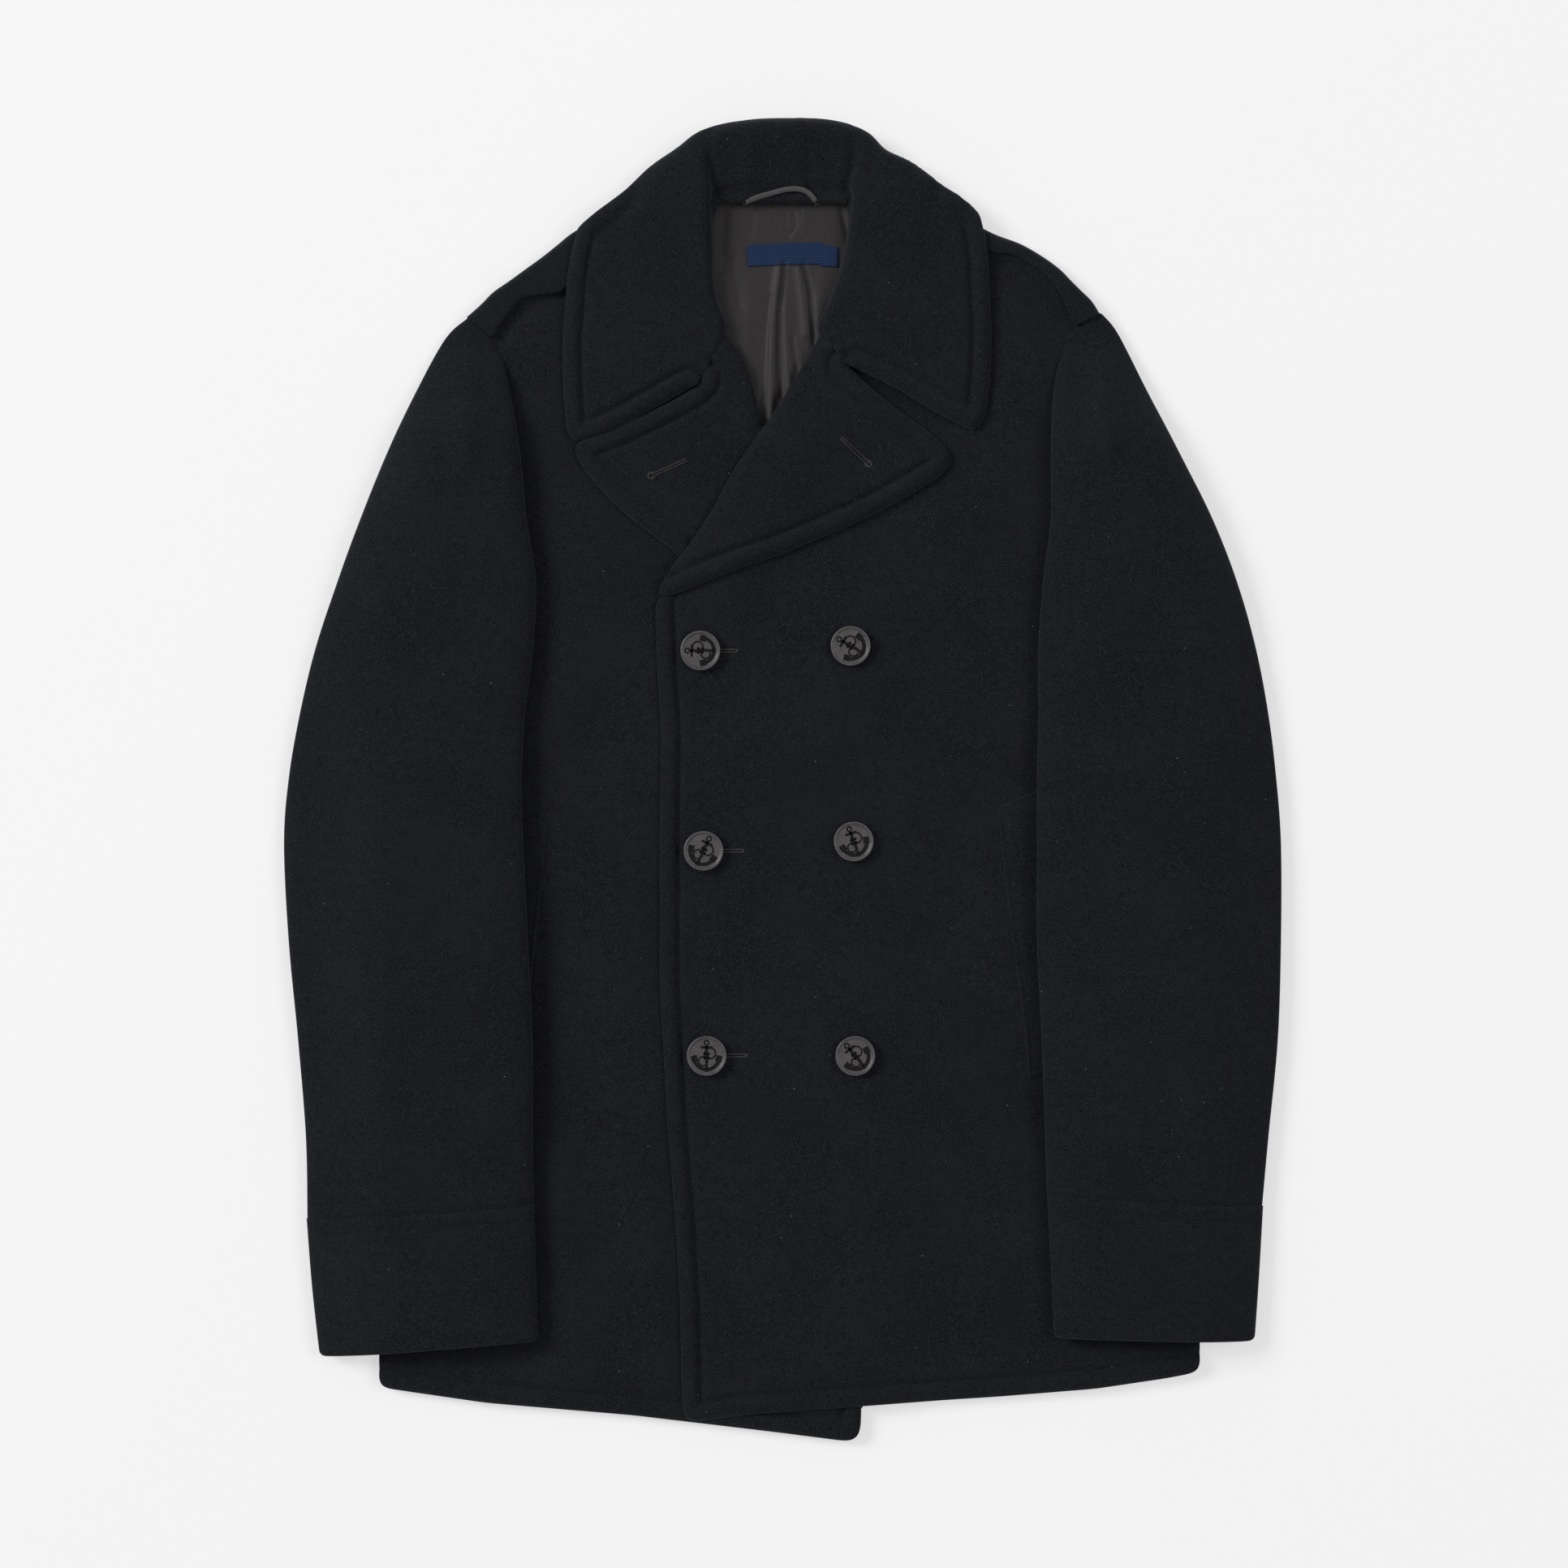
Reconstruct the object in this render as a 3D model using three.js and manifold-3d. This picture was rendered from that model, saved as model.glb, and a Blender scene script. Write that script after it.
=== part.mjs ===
// A double-breasted wool pea coat, laid flat on its back with its sleeves down.
// Millimetres, +Z up, +Y towards the collar. The left front laps over the right one.
// Plan places are measured from the middle of the laid coat and recentred at the end.
import * as THREE from "three";
import { mergeVertices } from "three/addons/utils/BufferGeometryUtils.js";
import Module from "manifold-3d";

const wasm = await Module();
wasm.setup();

// Cloth and the gaps between its layers
const CLOTH = 3.2; // melton with its backing
const COLLAR_CLOTH = 4; // collar and lapels are two cloths sewn edge to edge
const LINING_CLOTH = 1.2;
const SEAM_GAP = 0.3;
const LAYER_GAP = 0.4;
const BODY_AIR = 2; // slack between the back and the fronts
const SLEEVE_AIR = 8; // slack inside a flattened sleeve
const ROLL = 4; // width of the cloth that turns over at a lapel's roll

// Heights of the layers over the table
const FRONT_UNDER = CLOTH + BODY_AIR;
const FRONT_TOP = FRONT_UNDER + CLOTH;
const LAP_LIFT = CLOTH + LAYER_GAP; // what one front lifts the other by
const LAPEL_LIFT = COLLAR_CLOTH + LAYER_GAP;
const LAP_RAMP = 60; // the outer front comes down over this width past the inner one
const SHOULDER_HEIGHT = 9.8; // the back's cloth where it rolls over the shoulder
const SLEEVE_HEIGHT = 2 * CLOTH + SLEEVE_AIR;
const BED_SHELF = 6; // a sleeve stays level this far past the body's side
const BED_RAMP = 24; // and comes down to the table over this width
const HEAD_BED = 6.2; // height of the sleeve head's underside at the shoulder seam

const BUTTON = { radius: 12.7, thick: 4.4, rim: 1.5, dish: 0.9, hole: 0.85, holePitch: 1.75 };
const WELT_CLOTH = 2.4;
const LABEL_CLOTH = 0.8;
const LOOP = { half: 2, thick: 1.2 };

const NAVY = { color: 0x1c1e24, roughness: 0.95, metalness: 0 };
const GREY_SATIN = { color: 0x4b4648, roughness: 0.5, metalness: 0 };
const BLUE_WEAVE = { color: 0x1b2b57, roughness: 0.8, metalness: 0 };
const HORN = { color: 0x5b5659, roughness: 0.4, metalness: 0.2 };

// Outlines, a place per row as [x, y]
const BACK_SIDES = [
  { y: -389, right: -259, left: 267 },
  { y: 105, right: -259, left: 266 },
  { y: 141, right: -255, left: 262 },
  { y: 178, right: -240, left: 249 },
  { y: 209, right: -227, left: 233 },
  { y: 240, right: -214, left: 217 },
  { y: 266, right: -206, left: 208 },
  { y: 297, right: -203, left: 203 },
];
const BACK_TOP = [[192, 313], [177, 328], [152, 344], [130, 352], [112, 364], [60, 367], [-60, 367],
  [-113, 367], [-126, 359], [-144, 344], [-165, 328], [-186, 313]];
const HEM_RIGHT = [[-259, -389], [-190, -399], [-96, -407], [-3, -418], [44, -424]];
const HEM_LEFT = [[-62, -411], [-23, -406], [60, -400], [138, -395], [200, -390], [247, -383], [267, -379]];
const EDGE_RIGHT = [[49, -421], [50, -410], [50, -280], [50, -72], [50, 108]];
const EDGE_LEFT = [[-82, 116], [-81, 80], [-78, 30], [-79, -23], [-79, -78], [-79, -130], [-76, -183],
  [-74, -223], [-69, -282], [-66, -335], [-65, -389], [-64, -406]];
const ROLL_RIGHT = [[50, 108], [18, 166], [-14, 228], [-19, 251], [-23, 264], [-30, 276], [-34.5, 283]];
const ROLL_LEFT = [[-81, 120], [-71, 137], [-59, 152], [-45, 173], [-32, 198], [-16, 221], [-6, 235],
  [2, 248], [12, 265], [20, 278], [22, 281.5]];
const NECK_RIGHT = [[-45, 300], [-50, 312], [-51, 330], [-52, 361]];
const NECK_LEFT = [[31, 297], [37, 308], [42.5, 324], [46.5, 340], [49.5, 361]];
const SHOULDER_SEAM_RIGHT = [[-108, 336.5], [-122, 325.5], [-137, 315.5], [-146, 311], [-156, 310],
  [-167, 307], [-174, 299.5], [-180, 291.5], [-185.5, 282.5]];
const SHOULDER_SEAM_LEFT = [[100, 340], [122, 337.5], [137, 337.5], [148, 335.5], [160, 329], [168, 323],
  [173, 316.5], [178, 308.5], [181, 300.5], [186.5, 290.5]];
const ARMHOLE_RIGHT = [[-178, 270], [-182, 250], [-200, 225], [-227, 195], [-245, 165], [-255, 141], [-259, 105]];
const ARMHOLE_LEFT = [[175.5, 279], [176.5, 268], [181, 254], [198, 232], [226, 200], [247, 168], [262, 141],
  [266, 105]];

const LAPEL_RIGHT = [[-134, 211], [-132, 214], [-109, 222], [-86, 233], [-71, 242], [-56, 250.5], [-52, 256.5],
  [-44, 269], [-35.3, 283.5], [-30, 276], [-23, 264], [-19, 251], [-14, 228], [-7, 215], [0, 202], [-24, 168],
  [-48, 134], [-57, 137], [-65, 141], [-71, 148], [-86, 159], [-98, 168], [-108, 177], [-119, 189], [-127, 198]];
const LAPEL_LEFT = [[-81, 120], [-78, 118], [-72, 118], [-45, 129], [-24, 137], [-3, 144], [19, 153], [42, 163],
  [59, 171], [81, 183], [102, 196], [107, 203], [107, 209], [104, 214], [93, 223], [75, 236], [59, 249],
  [41, 265], [37, 269], [29, 278.5], [23.5, 282], [20, 278], [12, 265], [2, 248], [-6, 235], [-16, 221],
  [-32, 198], [-45, 173], [-59, 152], [-71, 137]];

// Where the back rolls over each shoulder: its outer edge, and its seam to the front
const SHOULDER_RIGHT = [
  { edge: [-203, 297], seam: [-186, 283.5] },
  { edge: [-194, 305], seam: [-181, 292.5] },
  { edge: [-186, 313], seam: [-175, 300.5] },
  { edge: [-176, 320], seam: [-167.5, 308] },
  { edge: [-165, 328], seam: [-156, 311] },
  { edge: [-154, 336], seam: [-146, 312] },
  { edge: [-144, 344], seam: [-137, 316.5] },
  { edge: [-136, 350.5], seam: [-127, 323] },
];
const SHOULDER_LEFT = [
  { edge: [203, 299], seam: [187, 291] },
  { edge: [198, 307], seam: [182, 301] },
  { edge: [191, 314], seam: [179, 309] },
  { edge: [184, 321], seam: [174, 317] },
  { edge: [177, 328], seam: [168.5, 324] },
  { edge: [166, 336], seam: [160, 330] },
  { edge: [152, 344], seam: [148, 336.5] },
  { edge: [136, 350], seam: [133, 338.5] },
];

// Sleeves, a section per row from the head to the wrist: outer and inner edge, and how full it is
const SLEEVE_RIGHT = [
  { outer: [-203, 296], inner: [-186.5, 282.5], full: 0 },
  { outer: [-217, 283], inner: [-180.5, 272], full: 0.1 },
  { outer: [-235, 250], inner: [-175, 250], full: 0.45 },
  { outer: [-254, 209], inner: [-168, 209], full: 1 },
  { outer: [-271, 167], inner: [-164, 167], full: 1 },
  { outer: [-286, 126], inner: [-158, 126], full: 1 },
  { outer: [-300, 84], inner: [-160, 84], full: 1 },
  { outer: [-310, 42], inner: [-165, 42], full: 1 },
  { outer: [-317, 1], inner: [-167, 1], full: 1 },
  { outer: [-320, -41], inner: [-166, -41], full: 1 },
  { outer: [-317, -103], inner: [-163, -103], full: 1 },
  { outer: [-311, -166], inner: [-160, -166], full: 1 },
  { outer: [-306, -228], inner: [-160, -222], full: 1 },
  { outer: [-305, -279.5], inner: [-159.5, -269.5], full: 1 },
];
const SLEEVE_LEFT = [
  { outer: [204.5, 299], inner: [187.6, 290], full: 0 },
  { outer: [215, 286], inner: [180, 279], full: 0.1 },
  { outer: [233, 250], inner: [173, 250], full: 0.45 },
  { outer: [254, 209], inner: [171, 209], full: 1 },
  { outer: [275, 167], inner: [171, 167], full: 1 },
  { outer: [291, 126], inner: [166, 126], full: 1 },
  { outer: [303, 84], inner: [163, 84], full: 1 },
  { outer: [311, 42], inner: [163, 42], full: 1 },
  { outer: [316, 1], inner: [162, 1], full: 1 },
  { outer: [319, -41], inner: [162, -41], full: 1 },
  { outer: [319, -103], inner: [162, -103], full: 1 },
  { outer: [317, -166], inner: [165, -166], full: 1 },
  { outer: [311, -228], inner: [167, -218], full: 1 },
  { outer: [307, -271.5], inner: [168.5, -262.5], full: 1 },
];
const CUFF_RIGHT = [
  { outer: [-305.5, -280.5], inner: [-159, -270.5], full: 1 },
  { outer: [-302, -325], inner: [-158, -314], full: 1 },
  { outer: [-297, -369], inner: [-157, -358], full: 1 },
];
const CUFF_LEFT = [
  { outer: [307.5, -272.5], inner: [168.5, -263.5], full: 1 },
  { outer: [305, -316], inner: [171, -310], full: 1 },
  { outer: [302, -359], inner: [173, -356], full: 1 },
];
const UNDER_SLEEVE_FROM = 4; // the under sleeve starts at this section

// Soft ridges, a row each: from, to, height and half width
const SLEEVE_RIDGES = [
  { from: [-202, 284], to: [-200, 205], height: 2.2, width: 12 },
  { from: [204, 288], to: [206, 215], height: 2.4, width: 9 },
];
const LINING_FOLDS = [
  { from: [-8, 314], to: [-10, 262], height: 3, width: 3.5 },
  { from: [6, 316], to: [3, 262], height: 2.6, width: 3.2 },
  { from: [14, 318], to: [18, 286], height: 2.8, width: 3 },
  { from: [-38, 356], to: [-27, 290], height: 1.8, width: 6 },
  { from: [38, 362], to: [36, 330], height: 1.6, width: 4 },
];

// The collar, a station per row from its right end round the back of the neck to its left end:
// where it is sewn on, its fold, and three places down its fall (middle of the cloth)
const COLLAR = [
  { seam: [-56, 253.5, 11], fold: [-58, 252.5, 11.2], fall: [[-86, 236.5, 12], [-112, 222.5, 11.6], [-132, 217, 10.9]] },
  { seam: [-53, 258, 11], fold: [-55, 257.5, 11.4], fall: [[-85, 243, 12.4], [-114, 228, 11.8], [-137.5, 222, 10.9]] },
  { seam: [-46.5, 270, 11], fold: [-48.5, 270, 11.8], fall: [[-84, 258, 13], [-115, 246, 12.2], [-140, 240, 10.9]] },
  { seam: [-38.5, 288, 9.5], fold: [-40, 288, 12.6], fall: [[-82, 277, 14], [-115, 267, 12.6], [-141, 260, 10.9]] },
  { seam: [-43.5, 306, 5.8], fold: [-45, 306, 14], fall: [[-82, 299, 15], [-115, 290, 13.4], [-141, 284, 11]] },
  { seam: [-46, 322, 5.6], fold: [-47.5, 322, 15], fall: [[-84, 317, 16], [-115, 308, 14], [-139.5, 302, 11.8]] },
  { seam: [-46, 340, 5.6], fold: [-48, 340, 16], fall: [[-84, 337, 17], [-114, 330, 15], [-138, 322, 12.8]] },
  { seam: [-46, 358, 5.8], fold: [-48.5, 358, 17], fall: [[-80, 358, 17.5], [-108, 354, 15.5], [-134, 344, 12.9]] },
  { seam: [-43, 369, 6.8], fold: [-49, 374, 18], fall: [[-78, 376, 17.5], [-102, 370, 14.5], [-127, 357, 11.4]] },
  { seam: [-36, 370.5, 7.2], fold: [-50.5, 390, 19], fall: [[-74, 392, 16], [-87, 389, 9], [-93, 371, 2.6]] },
  { seam: [-28, 370.5, 7.2], fold: [-49, 404, 20], fall: [[-64, 404, 15], [-67, 400, 6], [-67, 369, 2.05]] },
  { seam: [-19, 370.5, 7.2], fold: [-40, 413.5, 20.5], fall: [[-49, 415, 13], [-50, 410, 4.4], [-45, 369, 2.05]] },
  { seam: [-8, 370.5, 7.2], fold: [-20, 417, 21], fall: [[-22, 420.5, 13], [-22, 415, 3.4], [-21, 369, 2.05]] },
  { seam: [5, 370.5, 7.2], fold: [5, 418, 21.5], fall: [[5, 421.5, 13], [5, 416, 3.2], [5, 369, 2.05]] },
  { seam: [18, 370.5, 7.2], fold: [28, 417, 21], fall: [[30, 420.5, 13], [30, 415, 3.4], [29, 369, 2.05]] },
  { seam: [28, 370.5, 7.2], fold: [43, 412.5, 20.5], fall: [[51, 414, 13], [52, 409, 4.4], [50, 369, 2.05]] },
  { seam: [35, 370.5, 7.2], fold: [49, 402, 20], fall: [[62, 402.5, 15], [66, 398.5, 6], [68, 369, 2.05]] },
  { seam: [40, 370.5, 7.2], fold: [48.5, 388, 19], fall: [[74, 393, 16], [87, 390, 9], [93, 371, 2.6]] },
  { seam: [43, 369, 6.8], fold: [47, 372, 18], fall: [[76, 377, 17.5], [101, 376, 14.5], [121, 366, 11.2]] },
  { seam: [43.5, 356, 5.8], fold: [45.5, 356, 17], fall: [[76, 360, 17.5], [104, 359, 15.5], [128, 353, 12.9]] },
  { seam: [41, 340, 5.6], fold: [43, 340, 16], fall: [[76, 341, 17], [105, 338, 15], [131, 334, 12.8]] },
  { seam: [37, 324, 5.6], fold: [39, 324, 15], fall: [[74, 324, 16], [105, 319, 14], [132, 313, 11.8]] },
  { seam: [31.5, 308, 5.8], fold: [33.5, 308, 14], fall: [[70, 305, 15], [102, 299, 13.4], [133, 293, 11]] },
  { seam: [24, 289, 9.5], fold: [26, 289, 12.6], fall: [[66, 284, 14], [100, 276, 12.6], [133, 270, 10.9]] },
  { seam: [32.5, 277.5, 11], fold: [34.5, 277, 11.8], fall: [[68, 264, 13], [100, 256, 12.2], [131.5, 250, 10.9]] },
  { seam: [40, 269, 11], fold: [42, 268, 11.4], fall: [[72, 254, 12.4], [101, 240, 11.8], [128.5, 232.5, 10.9]] },
  { seam: [42, 266.5, 11], fold: [44, 265, 11.2], fall: [[73, 250.5, 12], [99, 235, 11.6], [121, 224, 10.9]] },
];
const FOLD_SOFTNESS = 4; // the cloth leaves the fold's corner this far before it

const LINING_OUTLINE = [[-58, 368.5], [-58, 335], [-56, 300], [-46, 275], [-36, 250], [-28, 222], [-8, 203],
  [4, 222], [17, 238], [32, 262], [46, 290], [54, 320], [58, 345], [58, 368.5]];
const LABEL_OUTLINE = [[-24, 343], [0, 344.6], [22.5, 345], [22.5, 331], [0, 330.8], [-23, 329.5]];
const TAB_OUTLINE = [[24, 344], [35, 342], [35, 329], [24, 330]];
const LOOP_LINE = [[-25, 370.5], [-17, 373.5], [-8, 375.5], [2, 378], [11, 378], [16, 375.5], [21, 370.5]];
const WELT_RIGHT = [[-151, -28], [-153, -52], [-156, -81], [-161, -125], [-168, -200], [-202, -189],
  [-195, -114], [-190, -70], [-187, -41], [-185, -16]];
const WELT_LEFT = [[137, -17], [141, -55], [148, -112], [155, -165], [157, -192], [191, -179], [189, -152],
  [182, -99], [175, -42], [171, -3]];
const BUTTON_PLACES = [
  { name: "button_hole_side_top", at: [-53, 83], turn: 90 },
  { name: "button_hole_side_middle", at: [-51, -45], turn: -25 },
  { name: "button_hole_side_bottom", at: [-49, -176], turn: 0 },
  { name: "button_show_side_top", at: [43, 86], turn: 60 },
  { name: "button_show_side_middle", at: [45, -39], turn: 20 },
  { name: "button_show_side_bottom", at: [46, -176], turn: 40 },
];

// Numbers that follow a curve
const lerp = (a, b, t) => a + (b - a) * t;
const clamp01 = (t) => Math.min(1, Math.max(0, t));

function smooth(t) {
  const s = clamp01(t);
  return s * s * (3 - 2 * s);
}

// The value between rows of numbers, on a smooth curve through all of them
function blendRows(rows, t) {
  const place = clamp01(t) * (rows.length - 1);
  const i = Math.min(rows.length - 2, Math.floor(place));
  const f = place - i;
  const row = (k) => rows[Math.min(rows.length - 1, Math.max(0, k))];
  const [a, b, c, d] = [row(i - 1), row(i), row(i + 1), row(i + 2)];
  return b.map((_, k) => {
    const bend = 2 * a[k] - 5 * b[k] + 4 * c[k] - d[k];
    const twist = 3 * b[k] - a[k] - 3 * c[k] + d[k];
    return b[k] + 0.5 * f * (c[k] - a[k] + f * (bend + f * twist));
  });
}

function distanceToLine(line, x, y) {
  let best = Infinity;
  for (let i = 0; i + 1 < line.length; i++) {
    const [ax, ay] = line[i];
    const [bx, by] = line[i + 1];
    const length2 = (bx - ax) ** 2 + (by - ay) ** 2;
    const t = clamp01(((x - ax) * (bx - ax) + (y - ay) * (by - ay)) / length2);
    best = Math.min(best, Math.hypot(x - lerp(ax, bx, t), y - lerp(ay, by, t)));
  }
  return best;
}

// The line moved sideways, to its left for a positive distance
function shifted(line, distance) {
  return line.map(([x, y], i) => {
    const [ax, ay] = line[Math.max(0, i - 1)];
    const [bx, by] = line[Math.min(line.length - 1, i + 1)];
    const length = Math.hypot(bx - ax, by - ay);
    return [x - ((by - ay) / length) * distance, y + ((bx - ax) / length) * distance];
  });
}

function ridges(rows, x, y) {
  return rows.reduce((sum, { from, to, height, width }) => {
    const away = distanceToLine([from, to], x, y) / width;
    return sum + height * Math.exp(-away * away);
  }, 0);
}

// Where the body's side is at a height up the coat, with side "right" or "left"
function bodySide(side, y) {
  const next = BACK_SIDES.findIndex((row) => row.y > y);
  if (next === 0) return BACK_SIDES[0][side];
  if (next < 0) return BACK_SIDES.at(-1)[side];
  const [a, b] = [BACK_SIDES[next - 1], BACK_SIDES[next]];
  return lerp(a[side], b[side], (y - a.y) / (b.y - a.y));
}

// Layers that lift what lies on them
const LAP_LINE = [[50, -424], ...ROLL_RIGHT.slice(0, 6), [-45, 316], [-46, 364]];

function lapEdge(y) {
  const next = LAP_LINE.findIndex((place) => place[1] > y);
  if (next <= 0) return next === 0 ? LAP_LINE[0][0] : LAP_LINE.at(-1)[0];
  const [a, b] = [LAP_LINE[next - 1], LAP_LINE[next]];
  return lerp(a[0], b[0], (y - a[1]) / (b[1] - a[1]));
}

const CROSSING = { start: [20.3, 278.5], end: [-80.6, 120.4] }; // the left lapel's roll
function lapelCover(x, y) {
  const dx = CROSSING.end[0] - CROSSING.start[0];
  const dy = CROSSING.end[1] - CROSSING.start[1];
  const length = Math.hypot(dx, dy);
  const along = ((x - CROSSING.start[0]) * dx + (y - CROSSING.start[1]) * dy) / length;
  const across = ((y - CROSSING.start[1]) * dx - (x - CROSSING.start[0]) * dy) / length;
  const rise = smooth((along - 8) / 42);
  const fall = 1 - smooth((along - 166) / 26);
  return rise * fall * (1 - smooth((across - 24) / 46));
}

const frontRightUnder = () => FRONT_UNDER;
const frontRightTop = () => FRONT_TOP;

function frontLeftUnder(x, y) {
  const lap = 1 - smooth((x - lapEdge(y) - 1) / LAP_RAMP);
  return FRONT_UNDER + LAP_LIFT * lap + LAPEL_LIFT * lapelCover(x, y);
}

const frontLeftTop = (x, y) => frontLeftUnder(x, y) + CLOTH;

function liningUnder(x, y) {
  const inside = distanceToLine([...LINING_OUTLINE, LINING_OUTLINE[0]], x, y);
  return CLOTH + LAYER_GAP + smooth((inside - 15) / 8) * ridges(LINING_FOLDS, x, y);
}

// What a sleeve lies on: the body, then the table beside it
function sleeveBed(side, x, y) {
  const pocket = smooth((y + 245) / 40) * (1 - smooth((y - 5) / 40));
  const body = FRONT_TOP + 0.5 + (WELT_CLOTH + LAYER_GAP) * pocket;
  const top = lerp(body, HEAD_BED, smooth((y - 262) / 18));
  const outside = side === "right" ? bodySide(side, y) - x : x - bodySide(side, y);
  return top * (1 - smooth((outside - BED_SHELF) / BED_RAMP));
}

// Closed bodies from grids and outlines
// A wall between two faces, each a grid of places; a ring also joins its last column to its first.
function wall(outer, inner, ring = false) {
  const rows = outer.length;
  const columns = outer[0].length;
  const positions = [...outer.flat(2), ...inner.flat(2)];
  const index = [];
  const at = (face, i, j) => face * rows * columns + i * columns + (j % columns);
  const quad = (a, b, c, d) => index.push(a, b, c, a, c, d);
  const spans = ring ? columns : columns - 1;
  for (let i = 0; i + 1 < rows; i++) {
    for (let j = 0; j < spans; j++) {
      quad(at(0, i, j), at(0, i + 1, j), at(0, i + 1, j + 1), at(0, i, j + 1));
      quad(at(1, i, j), at(1, i, j + 1), at(1, i + 1, j + 1), at(1, i + 1, j));
    }
  }
  for (let j = 0; j < spans; j++) {
    quad(at(0, 0, j), at(0, 0, j + 1), at(1, 0, j + 1), at(1, 0, j));
    quad(at(0, rows - 1, j), at(1, rows - 1, j), at(1, rows - 1, j + 1), at(0, rows - 1, j + 1));
  }
  for (let i = 0; !ring && i + 1 < rows; i++) {
    quad(at(0, i, 0), at(1, i, 0), at(1, i + 1, 0), at(0, i + 1, 0));
    quad(at(0, i, columns - 1), at(0, i + 1, columns - 1), at(1, i + 1, columns - 1), at(1, i, columns - 1));
  }
  return facingOut(positions, index);
}

function facingOut(positions, index) {
  const geometry = new THREE.BufferGeometry();
  geometry.setAttribute("position", new THREE.Float32BufferAttribute(positions, 3));
  const corner = (k) => new THREE.Vector3().fromArray(positions, 3 * index[k]);
  let volume = 0;
  for (let k = 0; k < index.length; k += 3) {
    volume += corner(k).dot(corner(k + 1).cross(corner(k + 2)));
  }
  if (volume < 0) index.reverse();
  geometry.setIndex(index);
  return geometry;
}

function toSolid(geometry) {
  const bare = geometry.clone();
  bare.deleteAttribute("normal");
  bare.deleteAttribute("uv");
  const merged = mergeVertices(bare, 1e-4);
  return new wasm.Manifold(new wasm.Mesh({
    numProp: 3,
    vertProperties: merged.attributes.position.array,
    triVerts: new Uint32Array(merged.index.array),
  }));
}

function toGeometry(solid) {
  const mesh = solid.getMesh();
  const geometry = new THREE.BufferGeometry();
  geometry.setAttribute("position", new THREE.BufferAttribute(mesh.vertProperties, 3));
  geometry.setIndex(new THREE.BufferAttribute(mesh.triVerts, 1));
  return geometry;
}

function ticks(from, to, pitch) {
  const count = Math.max(1, Math.round((to - from) / pitch));
  return Array.from({ length: count + 1 }, (_, i) => lerp(from, to, i / count));
}

// Whole multiples of the pitch, so that layers with one pitch have their corners above each other
function lattice(from, to, pitch) {
  const first = Math.floor(from / pitch);
  const last = Math.ceil(to / pitch);
  return Array.from({ length: last - first + 1 }, (_, i) => (first + i) * pitch);
}

const PRISM_REACH = 60;
const COARSE_PITCH = 90;
function prism(outline) {
  const shape = new THREE.Shape(outline.map(([x, y]) => new THREE.Vector2(x, y)));
  const geometry = new THREE.ExtrudeGeometry(shape, { depth: 2 * PRISM_REACH, bevelEnabled: false });
  return toSolid(geometry.translate(0, 0, -PRISM_REACH));
}

// A cloth panel: what lies inside the outline between two height functions
// Below fineAbove the heights change little along the coat, so its rows are far apart there.
function panel(outline, under, over, pitch, fineAbove = -Infinity) {
  const xs = outline.map((place) => place[0]);
  const ys = outline.map((place) => place[1]);
  const acrossTicks = lattice(Math.min(...xs) - 1, Math.max(...xs) + 1, pitch[0]);
  const [low, high] = [Math.min(...ys) - 1, Math.max(...ys) + 1];
  const coarse = fineAbove > low ? ticks(low, fineAbove, COARSE_PITCH) : [];
  const alongTicks = [...coarse.slice(0, -1), ...lattice(Math.max(low, fineAbove), high, pitch[1])];
  const face = (height) => alongTicks.map((y) => acrossTicks.map((x) => [x, y, height(x, y)]));
  return toSolid(wall(face(over), face(under))).intersect(prism(outline));
}

// The back: one panel, with the cloth that rolls over both shoulders
const SHOULDER_ROUND = 4.6;
function shoulderRoll(rows) {
  const ROUND_STEPS = 6;
  const numbers = rows.map(({ edge, seam }) => [...edge, ...seam]);
  const stations = ticks(0, 1, 1 / 10).map((t) => blendRows(numbers, t));
  const path = (inset, base, top, [ex, ey, sx, sy]) => {
    const reach = Math.hypot(sx - ex, sy - ey);
    const place = (d, z) => [ex + ((sx - ex) * d) / reach, ey + ((sy - ey) * d) / reach, z];
    const arc = ticks(-Math.PI / 2, Math.PI / 2, Math.PI / ROUND_STEPS).map((angle) => {
      const d = SHOULDER_ROUND - (SHOULDER_ROUND - inset) * Math.cos(angle);
      return place(d, (base + top) / 2 + ((top - base) / 2) * Math.sin(angle));
    });
    return [place(Math.max(reach, SHOULDER_ROUND + 4), base), ...arc, place(reach, top)];
  };
  const outer = stations.map((row) => path(0, 0, SHOULDER_HEIGHT, row));
  const inner = stations.map((row) => path(CLOTH, CLOTH, SHOULDER_HEIGHT - CLOTH, row));
  return toSolid(wall(outer, inner));
}

function back() {
  const rightSide = BACK_SIDES.map((row) => [row.right, row.y]).reverse();
  const leftSide = BACK_SIDES.slice(1).map((row) => [row.left, row.y]);
  const hem = [...HEM_RIGHT.slice(1, 4), [40, -418], [56, -398], ...HEM_LEFT.slice(3)].map(([x, y]) => [x, y + 2]);
  const outline = [...rightSide, ...hem, ...leftSide, ...BACK_TOP];
  const flat = panel(outline, () => 0, () => CLOTH, [70, 80]);
  return flat.add(shoulderRoll(SHOULDER_RIGHT)).add(shoulderRoll(SHOULDER_LEFT));
}

// Fronts and lapels
const FRONT_PITCH = [14, 14];
const FRONT_FINE_ABOVE = 98;
function frontRight() {
  const roll = shifted(ROLL_RIGHT, ROLL + SEAM_GAP);
  const outline = [...HEM_RIGHT, ...EDGE_RIGHT.slice(0, -1), [50, 98], ...roll.slice(1), ...NECK_RIGHT,
    ...SHOULDER_SEAM_RIGHT, ...ARMHOLE_RIGHT];
  return panel(outline, frontRightUnder, frontRightTop, [80, 90]);
}

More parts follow.
